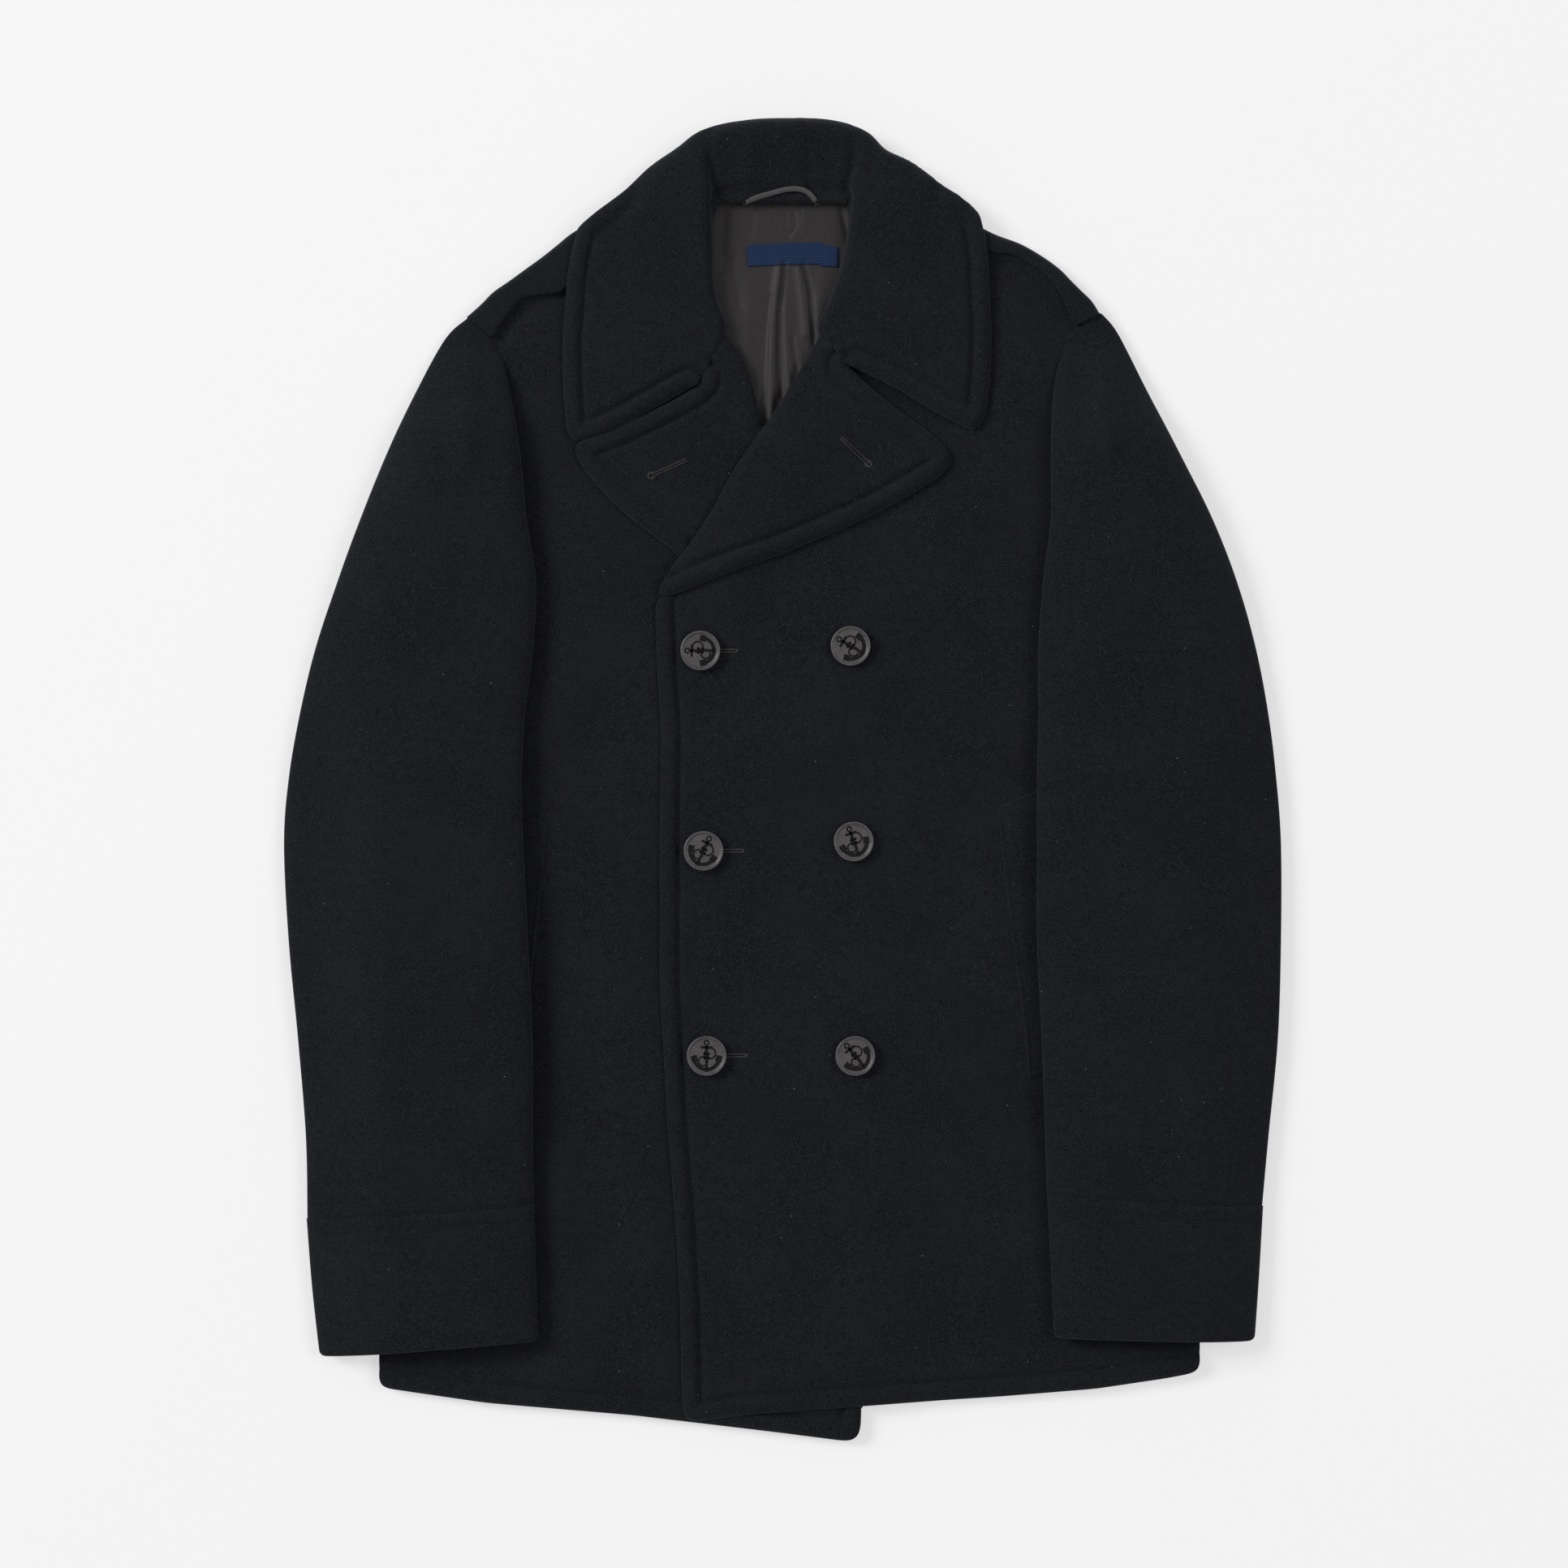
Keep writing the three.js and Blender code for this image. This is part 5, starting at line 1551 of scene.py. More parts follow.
@dataclass
class Sleeve:
    """One sleeve: an upper and an under sleeve sewn at both sides, and a turned cuff."""

    coat: Coat
    side: Side
    rows: Sequence[Sequence[float]]
    cuff_rows: Sequence[Sequence[float]]
    head: Sequence[float]
    side_rounding: float = 5.0
    fullness: float = 2.6
    ease: float = 16.0
    seam_depth: float = 1.1
    corner: float = 4.0
    tuck: float = 4.0
    columns: int = 64
    stitch_to_seam: float = 10.0

    def face(self, stations: np.ndarray, inset: np.ndarray, middle: np.ndarray, crown: np.ndarray,
             swell: float) -> np.ndarray:
        """One face of the flattened tube.

        Args:
            stations: Outer and inner edges of each section, and how full it is.
            inset: How far the face is inside the tube's sides, for each section.
            middle: The height of its sides over what it lies on.
            crown: The height of its middle over what it lies on.
            swell: How far its middle rises as a slow curve, too.

        Returns:
            The points, as rows of columns.
        """
        c = -np.cos(np.pi * np.arange(self.columns + 1) / self.columns)[None, :]
        dome = np.sqrt(np.clip(1 - np.abs(c) ** self.side_rounding, 0, 1))
        width = np.hypot(stations[:, 2] - stations[:, 0], stations[:, 3] - stations[:, 1])
        t = 0.5 + 0.5 * c * (1 - 2 * inset / width)[:, None]
        x = stations[:, 0:1] + (stations[:, 2:3] - stations[:, 0:1]) * t
        y = stations[:, 1:2] + (stations[:, 3:4] - stations[:, 1:2]) * t
        z = middle[:, None] + (crown[:, None] - middle[:, None]) * dome
        z = z + swell * (1 - c * c) * smooth(stations[:, 4:5] * 1.5 - 0.5)
        bed = sleeve_bed(self.side, x, y, self.ease if crown.max() > SLEEVE_HEIGHT / 2 else 0.0)
        return np.stack([x, y, bed + z], axis=2)

    def relief(self, x: np.ndarray, y: np.ndarray, full: np.ndarray) -> np.ndarray:
        """The ridge at the head, the soft creases, and the seam above the cuff with its stitches.

        Args:
            x: The places' x.
            y: The places' y.
            full: How full the sleeve is there.

        Returns:
            The added heights.
        """
        seam = [self.cuff_rows[0][:2], self.cuff_rows[0][2:4]]
        to_seam = distance_to_line(seam, x, y)
        below = y < np.interp(x, sorted([seam[0][0], seam[1][0]]),
                              [p[1] for p in sorted(seam)])
        groove = -self.seam_depth * np.exp(-(to_seam / 1.5) ** 2)
        stitched = np.where(below, 0.4 * np.sin(np.pi * np.clip(to_seam / self.stitch_to_seam, 0, 1))
                            - self.seam_depth * np.exp(-((to_seam - self.stitch_to_seam) / 1.4) ** 2), 0)
        head = creased(SLEEVE_RIDGES, x, y) * smooth(2 * full)
        return head + creased(SLEEVE_CREASES, x, y) + groove + stitched + 1.2 * undulation(x, y)

    def stations(self, rows: Sequence[Sequence[float]], count: int, close: float = 0.0) -> np.ndarray:
        """Sections between the ones of a table.

        Args:
            rows: The table.
            count: How many sections are wanted.
            close: How far up from the last row the sections crowd together, in rows.

        Returns:
            The sections, a row each.
        """
        last = len(rows) - 1
        where = np.linspace(0, last - close, count)
        if close:
            where = np.concatenate([where, last - close + close * (1 - np.linspace(1, 0, 14)[1:] ** 2)])
        return np.array([blend_rows(np.asarray(rows, float), t) for t in where])

    def tucked(self, rows: np.ndarray) -> tuple[np.ndarray, np.ndarray]:
        """The sections with one more inside the cuff.

        Args:
            rows: The sections, down to the seam.

        Returns:
            All the sections, and how much smaller each is than the one before the seam.
        """
        step = rows[-1, :4] - rows[-2, :4]
        reach = float(np.hypot(step[0] + step[2], step[1] + step[3])) / 2
        more = np.append(rows[-1, :4] + step * self.tuck / reach, rows[-1, 4])
        return np.vstack([rows, more]), np.append(np.zeros(len(rows)), 0.7)

    def upper(self) -> bpy.types.Object:
        """Builds the upper sleeve.

        Returns:
            The piece.
        """
        rows, tuck = self.tucked(np.vstack([self.head, self.stations(self.rows, 120, 0.4)]))
        full = smooth(rows[:, 4])
        middle = 0.2 + (SLEEVE_HEIGHT / 2 - 0.2) * full
        inner_crown = 0.2 + (CLOTH + SLEEVE_AIR - 0.2) * full
        outer = self.face(rows, tuck, middle, inner_crown + CLOTH - tuck, self.fullness)
        inner = self.face(rows, tuck + CLOTH, middle, inner_crown - tuck, self.fullness)
        rise = self.relief(outer[..., 0], outer[..., 1], rows[:, 4:5])
        c = np.linspace(-1, 1, self.columns + 1)[None, :]
        outer[..., 2] += rise * (1 - np.abs(c) ** 24)
        return self.coat.table.object(f"wool_sleeve_{self.side.value}_upper", *wall(outer, inner))

    def under(self) -> bpy.types.Object:
        """Builds the under sleeve, which lies on the body and the table.

        Returns:
            The piece.
        """
        rows, tuck = self.tucked(self.stations(self.rows[UNDER_SLEEVE_FROM:], 60))
        middle = np.full(len(rows), SLEEVE_HEIGHT / 2 - 2 * SEAM_GAP)
        outer = self.face(rows, tuck, middle, tuck, 0.0)
        inner = self.face(rows, tuck + CLOTH, middle, tuck + CLOTH, 0.0)
        return self.coat.table.object(f"wool_sleeve_{self.side.value}_under", *wall(outer, inner))

    def cuff(self) -> bpy.types.Object:
        """Builds the cuff, a ring with a rounded lower edge.

        Returns:
            The piece.
        """
        rows = self.stations(self.cuff_rows, 44, 0.12)
        to_end = np.hypot(rows[:, 0] - rows[-1, 0], rows[:, 1] - rows[-1, 1])
        turn = edge_drop(to_end, CLOTH / 2)
        corner = edge_drop(to_end, self.corner)
        middle = np.full(len(rows), SLEEVE_HEIGHT / 2)
        zero = np.zeros(len(rows))

        def ring(inset: np.ndarray, low: np.ndarray, high: np.ndarray, swell: float) -> np.ndarray:
            """A closed face of the ring: its upper half, then its lower half back.

            Args:
                inset: How far it is inside the sides.
                low: Its height below.
                high: Its height above.
                swell: How far its middle rises.

            Returns:
                The points, as rows of columns.
            """
            upper = self.face(rows, inset, middle, high, swell)
            rise = self.relief(upper[..., 0], upper[..., 1], rows[:, 4:5])
            c = np.linspace(-1, 1, self.columns + 1)[None, :]
            upper[..., 2] += rise * (1 - np.abs(c) ** 24) * (1.0 if high.max() > SLEEVE_HEIGHT - 1 else 0.2)
            lower = self.face(rows, inset, middle, low, 0.0)
            return np.concatenate([upper, lower[:, -2:0:-1]], axis=1)

        outer = ring(corner, zero + turn, SLEEVE_HEIGHT - turn, self.fullness)
        inner = ring(CLOTH - 2 * turn + corner, CLOTH - turn, SLEEVE_HEIGHT - CLOTH + turn, self.fullness)
        return self.coat.table.object(f"wool_cuff_{self.side.value}", *wall(outer, inner, ring=True))

    def build(self) -> None:
        """Builds the sleeve and its cuff."""
        side = self.side.value
        melton = self.coat.finishes.melton
        table = np.asarray(self.rows, float)
        widths = np.hypot(table[:, 2] - table[:, 0], table[:, 3] - table[:, 1])
        length = float(table[0, 1] - table[-1, 1])
        middle_length = np.hypot(*np.diff((table[:, 0:2] + table[:, 2:4]) / 2, axis=0).T)
        area = float(np.sum((widths[1:] + widths[:-1]) / 2 * middle_length))
        upper = self.coat.keep(self.upper(), melton, "navy_melton", [f"sleeve_{side}_top"])
        self.coat.cloth(upper, float(widths.max()), length, area, [f"front_{side}"])
        lower_rows = slice(UNDER_SLEEVE_FROM, None)
        low_length = float(table[UNDER_SLEEVE_FROM, 1] - table[-1, 1])
        low_area = float(widths[lower_rows].mean() * low_length)
        under = self.coat.keep(self.under(), melton, "navy_melton", [f"sleeve_{side}_under"])
        self.coat.cloth(under, float(widths.max()), low_length, low_area, [f"front_{side}"])
        cuff = self.coat.keep(self.cuff(), melton, "navy_melton", [f"cuff_{side}"])
        self.coat.cloth(cuff, 2 * float(widths[-1]), 89, 0.98 * 2 * float(widths[-1]) * 89, [f"front_{side}"],
                        Held.FOLDED)


@dataclass
class Pockets:
    """The slanted side pockets, whose welts come out from under the sleeves."""

    coat: Coat

    def build(self) -> None:
        """Builds both welts."""
        for side, outline in ((Side.RIGHT, WELT_RIGHT), (Side.LEFT, WELT_LEFT)):
            panel = Panel(f"wool_pocket_welt_{side.value}", outline,
                          lambda x, y: np.full(np.shape(x), FRONT_TOP + SEAM_GAP - 1.2),
                          lambda x, y: np.full(np.shape(x), FRONT_TOP + SEAM_GAP + 0.5),
                          stitched=[[*outline, outline[0]]], pitch=5.0, soften=1.6, spacing=1.6,
                          swell=0.25, stitch_inset=3.0, insets=(0.4, 1.0, 1.8, 2.4, 3.0, 3.6, 4.4, 6.0))
            self.coat.panel(panel, f"pocket_welt_{side.value}", self.coat.finishes.melton, "navy_melton",
                            [f"front_{side.value}"])


@dataclass
class NeckInside:
    """What shows inside the neck: the lining, the woven label, its size tab and the hanger loop."""

    coat: Coat
    loop_half: float = 1.6
    loop_thick: float = 1.2

    def flat(self, name: str, outline: Line) -> Panel:
        """A label that lies on the lining.

        Args:
            name: The piece's name.
            outline: Its outline.

        Returns:
            The panel.
        """
        return Panel(name, outline, lambda x, y: lining_top(x, y) + LAYER_GAP,
                     lambda x, y: lining_top(x, y) + LAYER_GAP + LABEL_CLOTH,
                     pitch=1.3, soften=0.5, spacing=0.5, insets=(0.15, 0.35, 0.7, 1.1), waves=0.0,
                     softness=1.0)

    def loop(self) -> bpy.types.Object:
        """Builds the hanger loop, a flat folded strip across the neck seam.

        Returns:
            The piece.
        """
        table = np.asarray(LOOP_LINE, float)
        line = np.array([blend_rows(table, t) for t in np.linspace(0, len(table) - 1, 60)])
        tangent = np.gradient(line, axis=0)
        tangent /= np.linalg.norm(tangent, axis=1)[:, None]
        sideways = np.column_stack([-tangent[:, 1], tangent[:, 0]])
        angles = np.linspace(0, 2 * math.pi, 21)[:-1]
        rings = []
        for i, (place, side) in enumerate(zip(line, sideways)):
            from_end = min(i, len(line) - 1 - i)
            dip = 5.6 * (1 - smooth(from_end / 4))  # both ends go down under the lining
            base = 9.8 + 0.33 * max(0.0, place[1] - 369) + self.loop_thick / 2 - dip
            across = self.loop_half * np.sign(np.cos(angles)) * np.abs(np.cos(angles)) ** 0.5
            lift = self.loop_thick / 2 * np.sign(np.sin(angles)) * np.abs(np.sin(angles)) ** 0.5
            dent = -0.25 * np.exp(-((np.abs(across) - 1.2) / 0.3) ** 2) * (np.sin(angles) > 0)
            rings.append(np.column_stack([place[0] + side[0] * across, place[1] + side[1] * across,
                                          base + lift + dent + 0.33 * side[1] * across]))
        faces = tube_faces(len(rings), len(angles))
        return self.coat.table.object("satin_hanger_loop", np.vstack(rings), faces)

    def build(self) -> None:
        """Builds the lining and what is sewn on it."""
        finishes = self.coat.finishes
        lining = Panel("satin_back_lining", LINING_OUTLINE, lining_under, lining_top, pitch=1.4, soften=3.2,
                       spacing=1.6, insets=(0.3, 0.8, 1.6), waves=0.0, softness=1.0)
        self.coat.panel(lining, "back_lining", finishes.satin, "grey_satin", ["back"])
        for node, name, outline in (("neck_label", "woven_neck_label", LABEL_OUTLINE),
                                    ("size_tab", "woven_size_tab", TAB_OUTLINE)):
            self.coat.panel(self.flat(name, outline), node, finishes.tape, "blue_weave", ["back_lining"])
        self.coat.keep(self.loop(), finishes.binding, "grey_satin", ["hanger_loop"])


def select_only(piece: bpy.types.Object) -> None:
    """Makes one object the only selected and active one.

    Args:
        piece: The object.
    """
    bpy.ops.object.select_all(action="DESELECT")
    piece.select_set(True)
    bpy.context.view_layer.objects.active = piece


def select_faces(piece: bpy.types.Object, wanted: Callable[[bmesh.types.BMFace], bool]) -> None:
    """Selects faces in edit mode.

    Args:
        piece: The object in edit mode.
        wanted: Says which faces.
    """
    bpy.ops.mesh.select_all(action="DESELECT")
    shape = bmesh.from_edit_mesh(piece.data)
    for face in shape.faces:
        face.select_set(wanted(face))
    bmesh.update_edit_mesh(piece.data)


@dataclass(frozen=True)
class Button:
    """Where one button is sewn, and how it is turned."""

    node: str
    place: Place
    turn: float
    buttonhole: float = 0.0  # how far the hole it goes through shows beyond its middle


BUTTONS = [
    Button("button_hole_side_top", (-53, 83), 90, 22.5),
    Button("button_hole_side_middle", (-51, -45), -25, 24.5),
    Button("button_hole_side_bottom", (-49, -176), 0, 24.5),
    Button("button_show_side_top", (43, 86), 60),
    Button("button_show_side_middle", (45, -39), 20),
    Button("button_show_side_bottom", (46, -176), 40),
]


@dataclass
class Buttons:
    """Six turned horn buttons, each with a plain anchor laid flush in its dished face: a near-black inlay
    that is painted shade for a sunken relief.
    """

    coat: Coat
    radius: float = 12.7
    thick: float = 4.4
    rim: float = 1.3
    dish: float = 0.9
    foot: float = 1.6
    hole: float = 0.95
    hole_pitch: float = 1.75
    # half the thickness of the anchor's flat inlay
    ornament_half: float = 0.06

    def disc(self) -> bpy.types.Object:
        """Turns the disc: a foot below, a raised rim round a dished face, and four holes.

        Returns:
            The disc, with its foot at the origin.
        """
        bpy.ops.object.select_all(action="DESELECT")
        height = (self.thick - self.foot) * MM
        bpy.ops.mesh.primitive_cylinder_add(vertices=96, radius=self.radius * MM, depth=height,
                                            location=(0, 0, self.foot * MM + height / 2))
        disc = bpy.context.object
        bpy.ops.object.transform_apply(location=True)
        bpy.ops.object.mode_set(mode="EDIT")
        select_faces(disc, lambda face: face.normal.z < -0.9)
        bpy.ops.mesh.extrude_region_move(TRANSFORM_OT_translate={"value": (0, 0, -self.foot * MM)})
        bpy.ops.transform.resize(value=(0.6, 0.6, 1))
        select_faces(disc, lambda face: face.normal.z > 0.9)
        bpy.ops.mesh.inset(thickness=self.rim * MM)
        bpy.ops.mesh.inset(thickness=0.5 * MM)
        bpy.ops.transform.translate(value=(0, 0, -self.dish * MM))
        bpy.ops.mesh.inset(thickness=3.2 * MM)
        bpy.ops.transform.translate(value=(0, 0, -0.03 * MM))
        bpy.ops.object.mode_set(mode="OBJECT")
        bevel = disc.modifiers.new("worn_edges", "BEVEL")
        bevel.width = 0.42 * MM
        bevel.segments = 3
        bevel.angle_limit = math.radians(25)
        bpy.ops.object.modifier_apply(modifier=bevel.name)
        disc.data.materials.append(self.coat.finishes.horn)
        return disc

    def bar(self, length: float, width: float, middle: Place, turn: float, taper: float = 1.0
            ) -> bpy.types.Object:
        """A thin flat bar of the ornament, with softened corners.

        Args:
            length: Its length.
            width: Its width.
            middle: Where its middle is.
            turn: How it is turned, in degrees.
            taper: How wide its far end is, as a share of its width.

        Returns:
            The bar.
        """
        bpy.ops.object.select_all(action="DESELECT")
        level = (self.thick - self.dish) * MM
        bpy.ops.mesh.primitive_cube_add(size=1, location=(middle[0] * MM, middle[1] * MM, level),
                                        rotation=(0, 0, math.radians(turn)))
        bar = bpy.context.object
        bar.scale = (width * MM, length * MM, 2 * self.ornament_half * MM)
        bpy.ops.object.transform_apply(location=False, rotation=False, scale=True)
        bpy.ops.object.mode_set(mode="EDIT")
        select_faces(bar, lambda face: face.normal.y > 0.9)
        bpy.ops.transform.resize(value=(taper, 1, 1), orient_type="LOCAL")
        bpy.ops.object.mode_set(mode="OBJECT")
        return bar

    def hoop(self, radius: float, band: float, middle: Place, keep_below: float | None = None
             ) -> bpy.types.Object:
        """A flat ring of the ornament, or the lower part of one.

        Args:
            radius: The radius of the ring's middle line.
            band: Half the width of its band.
            middle: Where its middle is.
            keep_below: The highest y that is kept, or none for a whole ring.

        Returns:
            The ring.
        """
        bpy.ops.object.select_all(action="DESELECT")
        level = (self.thick - self.dish) * MM
        bpy.ops.mesh.primitive_torus_add(major_radius=radius * MM, minor_radius=band * MM, major_segments=64,
                                         minor_segments=8, location=(0, 0, 0))
        hoop = bpy.context.object
        bpy.ops.object.mode_set(mode="EDIT")
        bpy.ops.mesh.select_all(action="SELECT")
        bpy.ops.transform.resize(value=(1, 1, self.ornament_half / band))
        bpy.ops.transform.translate(value=(middle[0] * MM, middle[1] * MM, level))
        if keep_below is not None:
            bpy.ops.mesh.select_all(action="DESELECT")
            shape = bmesh.from_edit_mesh(hoop.data)
            for vert in shape.verts:
                vert.select_set(vert.co.y > keep_below * MM)
            shape.select_flush(True)
            bmesh.update_edit_mesh(hoop.data)
            bpy.ops.mesh.delete(type="VERT")
            bpy.ops.mesh.select_all(action="SELECT")
            bpy.ops.mesh.fill_holes(sides=0)
        bpy.ops.object.mode_set(mode="OBJECT")
        return hoop

    def anchor(self) -> list[bpy.types.Object]:
        """Makes a plain anchor: ring, stock, shank, curved arms and two flukes.

        Returns:
            Its parts.
        """
        return [
            self.hoop(1.45, 0.55, (0, 8.4)),
            self.bar(7.6, 1.6, (0, 5.5), 90, 0.85),
            self.bar(15.0, 1.8, (0, -0.8), 0, 0.75),
            self.hoop(8.1, 1.2, (0, -0.6), keep_below=-2.4),
            self.bar(4.2, 4.0, (-7.8, -1.8), 14, 0.1),
            self.bar(4.2, 4.0, (7.8, -1.8), -14, 0.1),
            self.bar(2.4, 2.6, (0, -9.0), 180, 0.2),
            self.hoop(3.4, 0.55, (2.3, 1.6)),
            self.hoop(2.9, 0.55, (-2.2, -3.4)),
        ]

    def drill(self, parts: Sequence[bpy.types.Object]) -> None:
        """Drills the four holes through the disc and the ornament.

        Args:
            parts: The pieces that the holes go through.
        """
        for k in range(4):
            angle = math.pi / 4 + k * math.pi / 2
            spot = (math.cos(angle) * self.hole_pitch * MM, math.sin(angle) * self.hole_pitch * MM, 0.002)
            bpy.ops.object.select_all(action="DESELECT")
            bpy.ops.mesh.primitive_cylinder_add(vertices=20, radius=self.hole * MM, depth=0.02, location=spot)
            drill = bpy.context.object
            for part in parts:
                select_only(part)
                cut = part.modifiers.new("hole", "BOOLEAN")
                cut.object = drill
                cut.solver = "EXACT"
                bpy.ops.object.modifier_apply(modifier=cut.name)
            bpy.data.objects.remove(drill, do_unlink=True)

    def threads(self) -> list[bpy.types.Object]:
        """Sews the button on: two passes of thread across its holes, and a dark plug inside the button that
        shows through them as the thread going down and painted shade.

        Returns:
            The threads and the plug.
        """
        made = []
        level = (self.thick - self.dish + 0.12) * MM
        for turn in (45, 135):
            bpy.ops.object.select_all(action="DESELECT")
            bpy.ops.mesh.primitive_cylinder_add(vertices=10, radius=0.3 * MM, depth=4.4 * MM,
                                                location=(0, 0, level),
                                                rotation=(math.pi / 2, 0, math.radians(turn)))
            made.append(bpy.context.object)
        # the plug: thread colour seen through the holes, standing for the thread in them and their painted
        # shade
        bpy.ops.object.select_all(action="DESELECT")
        bpy.ops.mesh.primitive_cylinder_add(vertices=24, radius=3.1 * MM, depth=0.6 * MM,
                                            location=(0, 0, 1.7 * MM))
        made.append(bpy.context.object)
        return made

    def pattern(self) -> bpy.types.Object:
        """Makes one whole button, to be copied.

        Returns:
            The button at the origin.
        """
        disc = self.disc()
        ornament = self.anchor()
        self.drill([disc, *ornament])
        select_only(disc)
        bpy.ops.object.shade_smooth_by_angle(angle=math.radians(34))
        for part in ornament:
            # The anchor's parts are painted shade: a flat near-black inlay for a sunken relief.
            part.data.materials.append(self.coat.finishes.blacking)
            self.join(disc, part)
        for part in self.threads():
            part.data.materials.append(self.coat.finishes.thread)
            self.join(disc, part)
        return disc

    def join(self, whole: bpy.types.Object, part: bpy.types.Object) -> None:
        """Joins a part to the button, keeping its finish.

        Args:
            whole: The button so far.
            part: The part.
        """
        select_only(part)
        bpy.ops.object.transform_apply(location=True, rotation=True, scale=True)
        bpy.ops.object.mode_set(mode="EDIT")
        bpy.ops.mesh.select_all(action="SELECT")
        bpy.ops.mesh.normals_make_consistent(inside=False)
        bpy.ops.object.mode_set(mode="OBJECT")
        whole.select_set(True)
        bpy.context.view_layer.objects.active = whole
        bpy.ops.object.join()

    def build(self) -> None:
        """Makes the buttons and puts each in its place."""
        pattern = self.pattern()
        for button in BUTTONS:
            low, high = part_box(button.node)
            middle = (low + high) / 2
            mesh = pattern.data.copy()
            spot = Matrix.Translation((middle.x, middle.y, low.z))
            mesh.transform(spot @ Matrix.Rotation(math.radians(button.turn), 4, "Z"))
            piece = bpy.data.objects.new(button.node.replace("button", "horn_button"), mesh)
            bpy.context.scene.collection.objects.link(piece)
            self.coat.keep(piece, self.coat.finishes.horn, "pewter_button", [button.node])
        bpy.data.objects.remove(pattern, do_unlink=True)


@dataclass
class Buttonholes:
    """Worked buttonholes: a slit filled with a near-black sheet of painted shade, between two rows of close
    stitches.
    """

    coat: Coat
    slit_half: float = 0.3
    stitch_pitch: float = 0.8
    stitch_reach: float = 1.0
    thread_radius: float = 0.3

    def work(self, name: str, start: Place, end: Place, surface: Panel, eyelet: bool) -> None:
        """Works one buttonhole.

        Args:
            name: The start of its pieces' names.
            start: Where the slit starts.
            end: Where it ends.
            surface: The panel that it is worked in.
            eyelet: Whether its end opens into a round eyelet.
        """
        a, b = np.array(start, float), np.array(end, float)
        length = float(np.linalg.norm(b - a))
        along = (b - a) / length
        side = np.array([-along[1], along[0]])

        def lifted(places: np.ndarray, lift: float) -> np.ndarray:
            """Places on the cloth, lifted off it."""
            z = surface.top(places[:, 0], places[:, 1]) + lift
            return np.column_stack([places, z])

        loops = []
        for offset in (-1, 1):
            for s in np.arange(0, length, self.stitch_pitch):
                inner = a + along * s + side * offset * self.slit_half
                outer = inner + side * offset * self.stitch_reach + along * 0.12
                loops.append((inner, outer))
        if eyelet:
            for angle in np.linspace(-2.4, 2.4, 13):
                ray = along * math.cos(angle) + side * math.sin(angle)
                loops.append((b + ray * 1.2, b + ray * 2.6))
        else:
            for s in (-0.7, 0.0, 0.7):
                loops.append((b + side * s, b + side * s + along * 1.6))
        points, faces = [], []
        for inner, outer in loops:
            line = lifted(np.array([inner + (outer - inner) * t for t in (0, 0.33, 0.67, 1)]), 0.0)
            line[:, 2] += np.array([-0.05, 0.3, 0.28, -0.1])
            add_thread(points, faces, line, [self.thread_radius] * len(line))
        threads = self.coat.table.object(f"{name}_stitches", np.array(points), faces)
        self.coat.keep(threads, self.coat.finishes.hole_thread, "navy_melton")
        # The slit is a thin near-black sheet just over the cloth: painted shade for the opening.
        ring = [a - along * 0.2 + side * self.slit_half, *[b + (along * math.cos(t) + side * math.sin(t))
                * (1.15 if eyelet else self.slit_half) for t in np.linspace(1.9, -1.9, 13)],
                a - along * 0.2 - side * self.slit_half]
        upper = lifted(np.array(ring), 0.16)
        lower = upper - np.array([0, 0, 0.8])
        slit = self.coat.table.object(f"{name}_slit", np.vstack([upper, lower]), tube_faces(2, len(ring)))
        self.coat.keep(slit, self.coat.finishes.slit, "navy_melton")

    def build(self, panels: dict[str, Panel]) -> None:
        """Works the holes of the front and the keyholes of both lapels.

        Args:
            panels: The panels that they are worked in.
        """
        for button in BUTTONS:
            if button.buttonhole:
                x, y = button.place
                self.work(button.node.replace("button_hole_side", "buttonhole"), (x + 6, y),
                          (x + button.buttonhole, y), panels["front_left"], False)
        self.work("lapel_keyhole_right", (-62, 205), (-84.5, 195), panels["lapel_right"], True)
        self.work("lapel_keyhole_left", (37, 219), (54.5, 202.5), panels["lapel_left"], True)


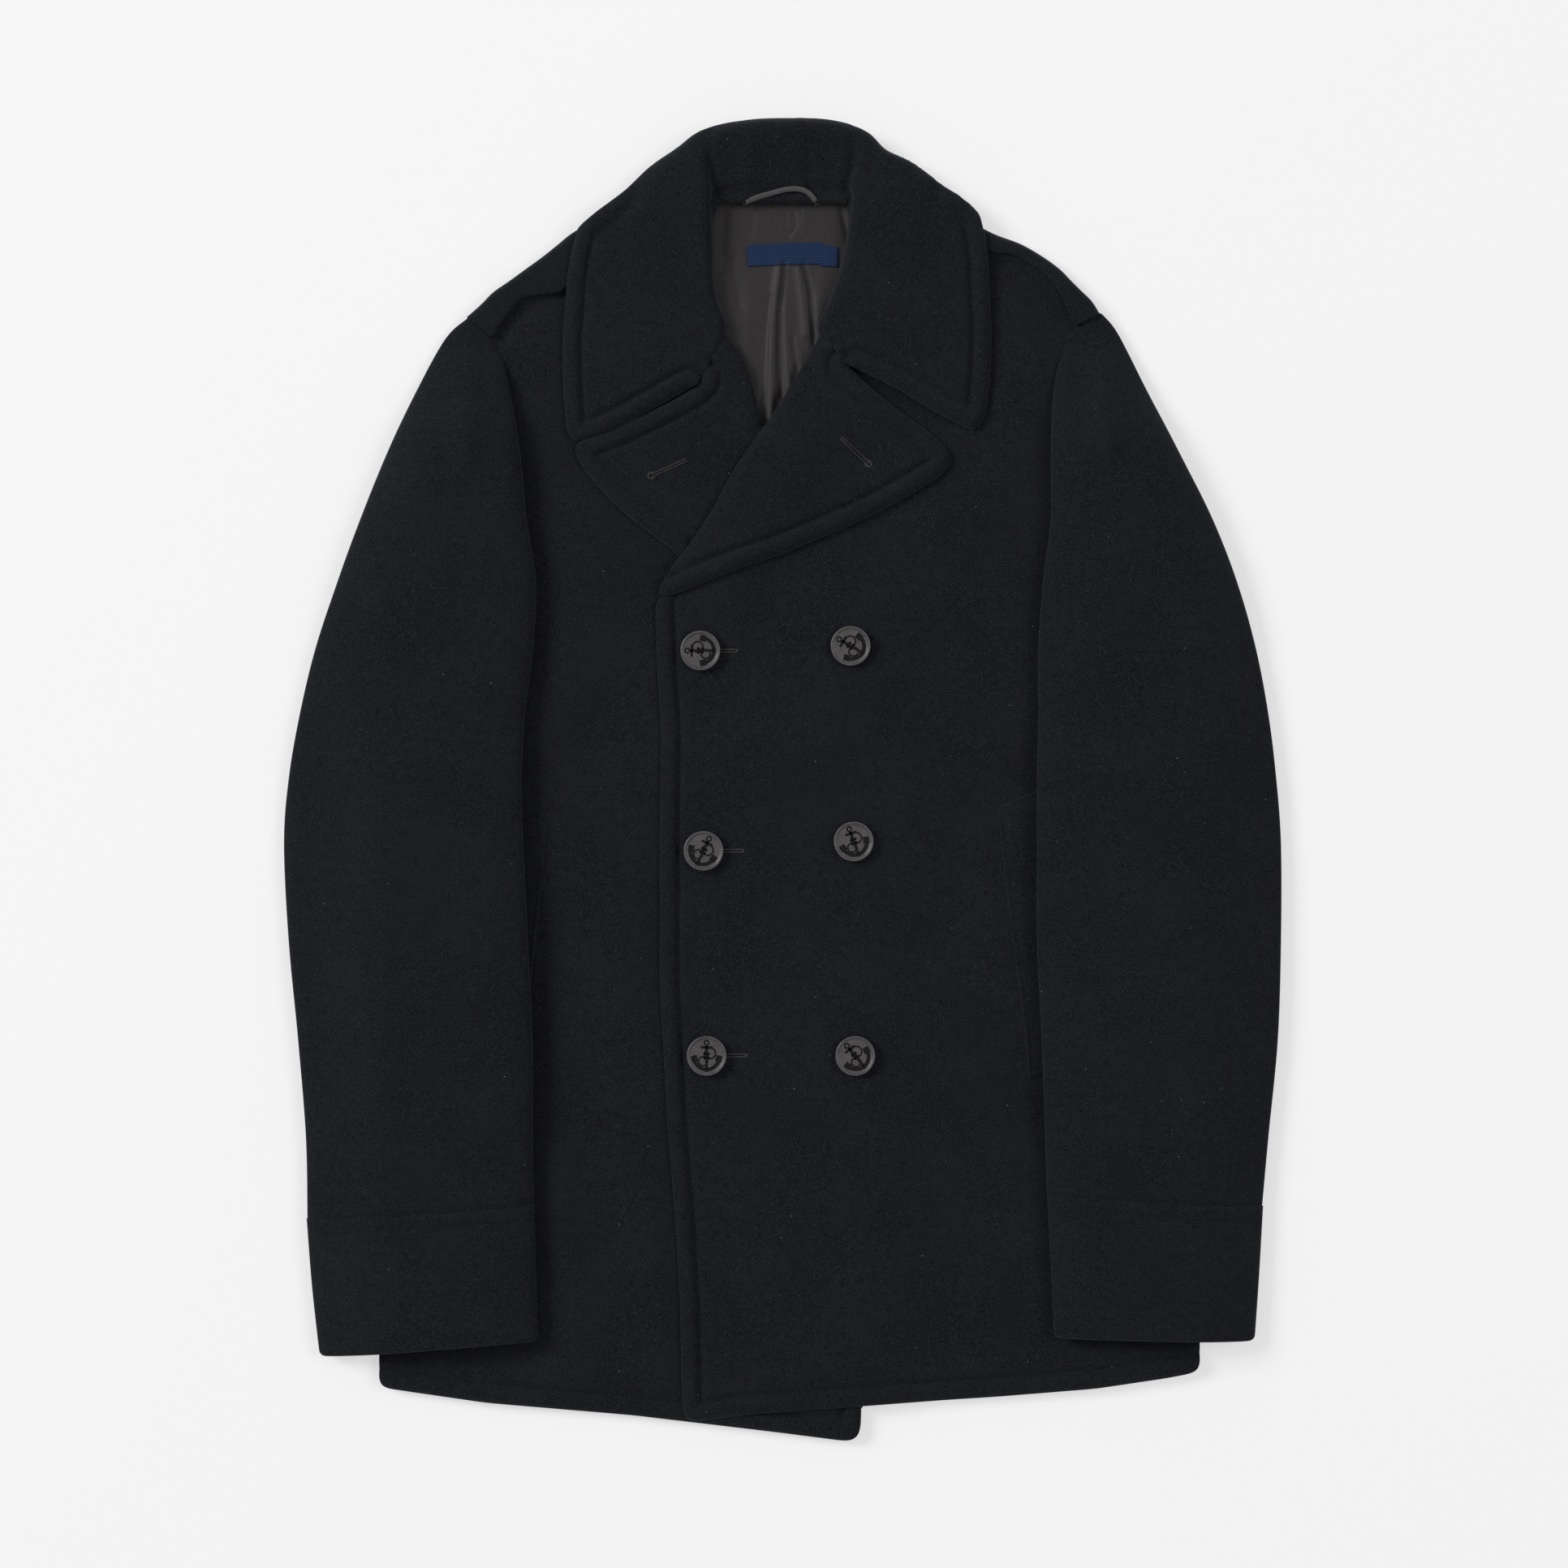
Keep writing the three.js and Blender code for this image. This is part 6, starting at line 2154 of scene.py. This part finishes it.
@dataclass
class Studio:
    """A pale table top under soft, even light, and the camera straight above."""

    width: float = 1004.6  # of the photograph, at the height of the coat
    lens: float = 100.0
    coat_height: float = 8.0
    middle: Place = (0.8, -2.0)

    def paper(self) -> None:
        """Lays the pale paper that the coat lies on, on a light table, so the shadows stay faint."""
        bpy.ops.object.select_all(action="DESELECT")
        bpy.ops.mesh.primitive_plane_add(size=14, location=(0, 0, -0.0003))
        floor = bpy.context.object
        floor.name = "paper_floor"
        material, tree, place = new_material("matt_paper_white")
        tooth = add_node(tree, "ShaderNodeTexNoise", {"Scale": 900.0, "Detail": 3.0}, {"Vector": place})
        normal = bumped(tree, 0.05, 0.1, tooth.outputs["Fac"])
        finish_material(tree, {"Base Color": srgb("a1a1a1"), "Roughness": 0.95, "Specular IOR Level": 0.1,
                               "Emission Color": (1, 1, 1, 1), "Emission Strength": 0.55},
                        {"Normal": normal})
        floor.data.materials.append(material)

    def lamp(self, name: str, place: tuple[float, float, float], size: float, power: float) -> None:
        """Hangs a soft box that points at the coat.

        Args:
            name: The lamp's name.
            place: Where it hangs, in metres.
            size: Its width, in metres.
            power: Its power, in watts.
        """
        light = bpy.data.lights.new(name, "AREA")
        light.shape = "DISK"
        light.size = size
        light.energy = power
        lamp = bpy.data.objects.new(name, light)
        lamp.location = place
        lamp.rotation_euler = (-Vector(place)).to_track_quat("-Z", "Y").to_euler()
        bpy.context.scene.collection.objects.link(lamp)

    def build(self) -> None:
        """Sets up the floor, the light and the camera."""
        scene = bpy.context.scene
        self.paper()
        world = bpy.data.worlds.new("soft_tent")
        world.use_nodes = True
        tent = world.node_tree.nodes["Background"]
        tent.inputs["Color"].default_value = (1, 1, 1, 1)
        tent.inputs["Strength"].default_value = 0.40
        scene.world = world
        self.lamp("softbox_window_side", (-6.6, 3.0, 5.1), 3.6, 567)
        self.lamp("softbox_far_side", (5.7, 0.9, 6.6), 4.2, 207)
        camera_data = bpy.data.cameras.new("overhead_camera")
        camera_data.lens = self.lens
        camera = bpy.data.objects.new("overhead_camera", camera_data)
        height = self.width * MM * self.lens / camera_data.sensor_width + self.coat_height * MM
        camera.location = (self.middle[0] * MM, self.middle[1] * MM, height)
        scene.collection.objects.link(camera)
        scene.camera = camera
        scene.view_settings.view_transform = "Standard"


@dataclass
class Topstitching:
    """The rows of stitches inside the edges of the fronts and the lapels."""

    coat: Coat

    def build(self, panels: dict[str, Panel]) -> None:
        """Sews every stitched edge of the panels.

        Args:
            panels: The panels with sewn edges.
        """
        for node, panel in panels.items():
            rows = [self.row(panel, line) for line in panel.stitched]
            if rows:
                piece = Stitching().build(self.coat.table, f"{node}_stitches", rows)
                self.coat.keep(piece, self.coat.finishes.thread, "navy_melton")

    def row(self, panel: Panel, line: Line) -> np.ndarray:
        """One row of stitches, inside an edge of a panel.

        Args:
            panel: The panel.
            line: The edge.

        Returns:
            The places of the row, on the cloth.
        """
        places = resample(line, 1.0)
        tangent = np.gradient(places, axis=0)
        tangent /= np.linalg.norm(tangent, axis=1)[:, None]
        border = panel.border()
        sideways = np.column_stack([-tangent[:, 1], tangent[:, 0]])
        trial = places + sideways * panel.stitch_inset
        if inside(border, trial[:, 0], trial[:, 1]).mean() < 0.5:
            sideways = -sideways
        row = places + sideways * panel.stitch_inset
        away = distance_to_line(line, row[:, 0], row[:, 1])
        row = row[(away > panel.stitch_inset - 0.3) & inside(border, row[:, 0], row[:, 1])]
        return np.column_stack([row, panel.top(row[:, 0], row[:, 1])])


def main() -> None:
    """Builds the coat and the studio round it."""
    logging.basicConfig(level=logging.INFO, format="%(message)s")
    Studio().build()
    coat = Coat(Table.from_frame(), Finishes.make())
    log.info("body and lapels")
    panels = {**Body(coat).build(), **Lapels(coat).build()}
    sewn = {node: panel for node, panel in panels.items() if node != "back"}
    Topstitching(coat).build(sewn)
    log.info("collar")
    Collar(coat).build()
    log.info("sleeves")
    Sleeve(coat, Side.RIGHT, SLEEVE_RIGHT, CUFF_RIGHT, HEAD_RIGHT).build()
    Sleeve(coat, Side.LEFT, SLEEVE_LEFT, CUFF_LEFT, HEAD_LEFT).build()
    log.info("pockets, neck and fastenings")
    Pockets(coat).build()
    NeckInside(coat).build()
    Buttons(coat).build()
    Buttonholes(coat).build(panels)


if __name__ == "__main__":
    main()
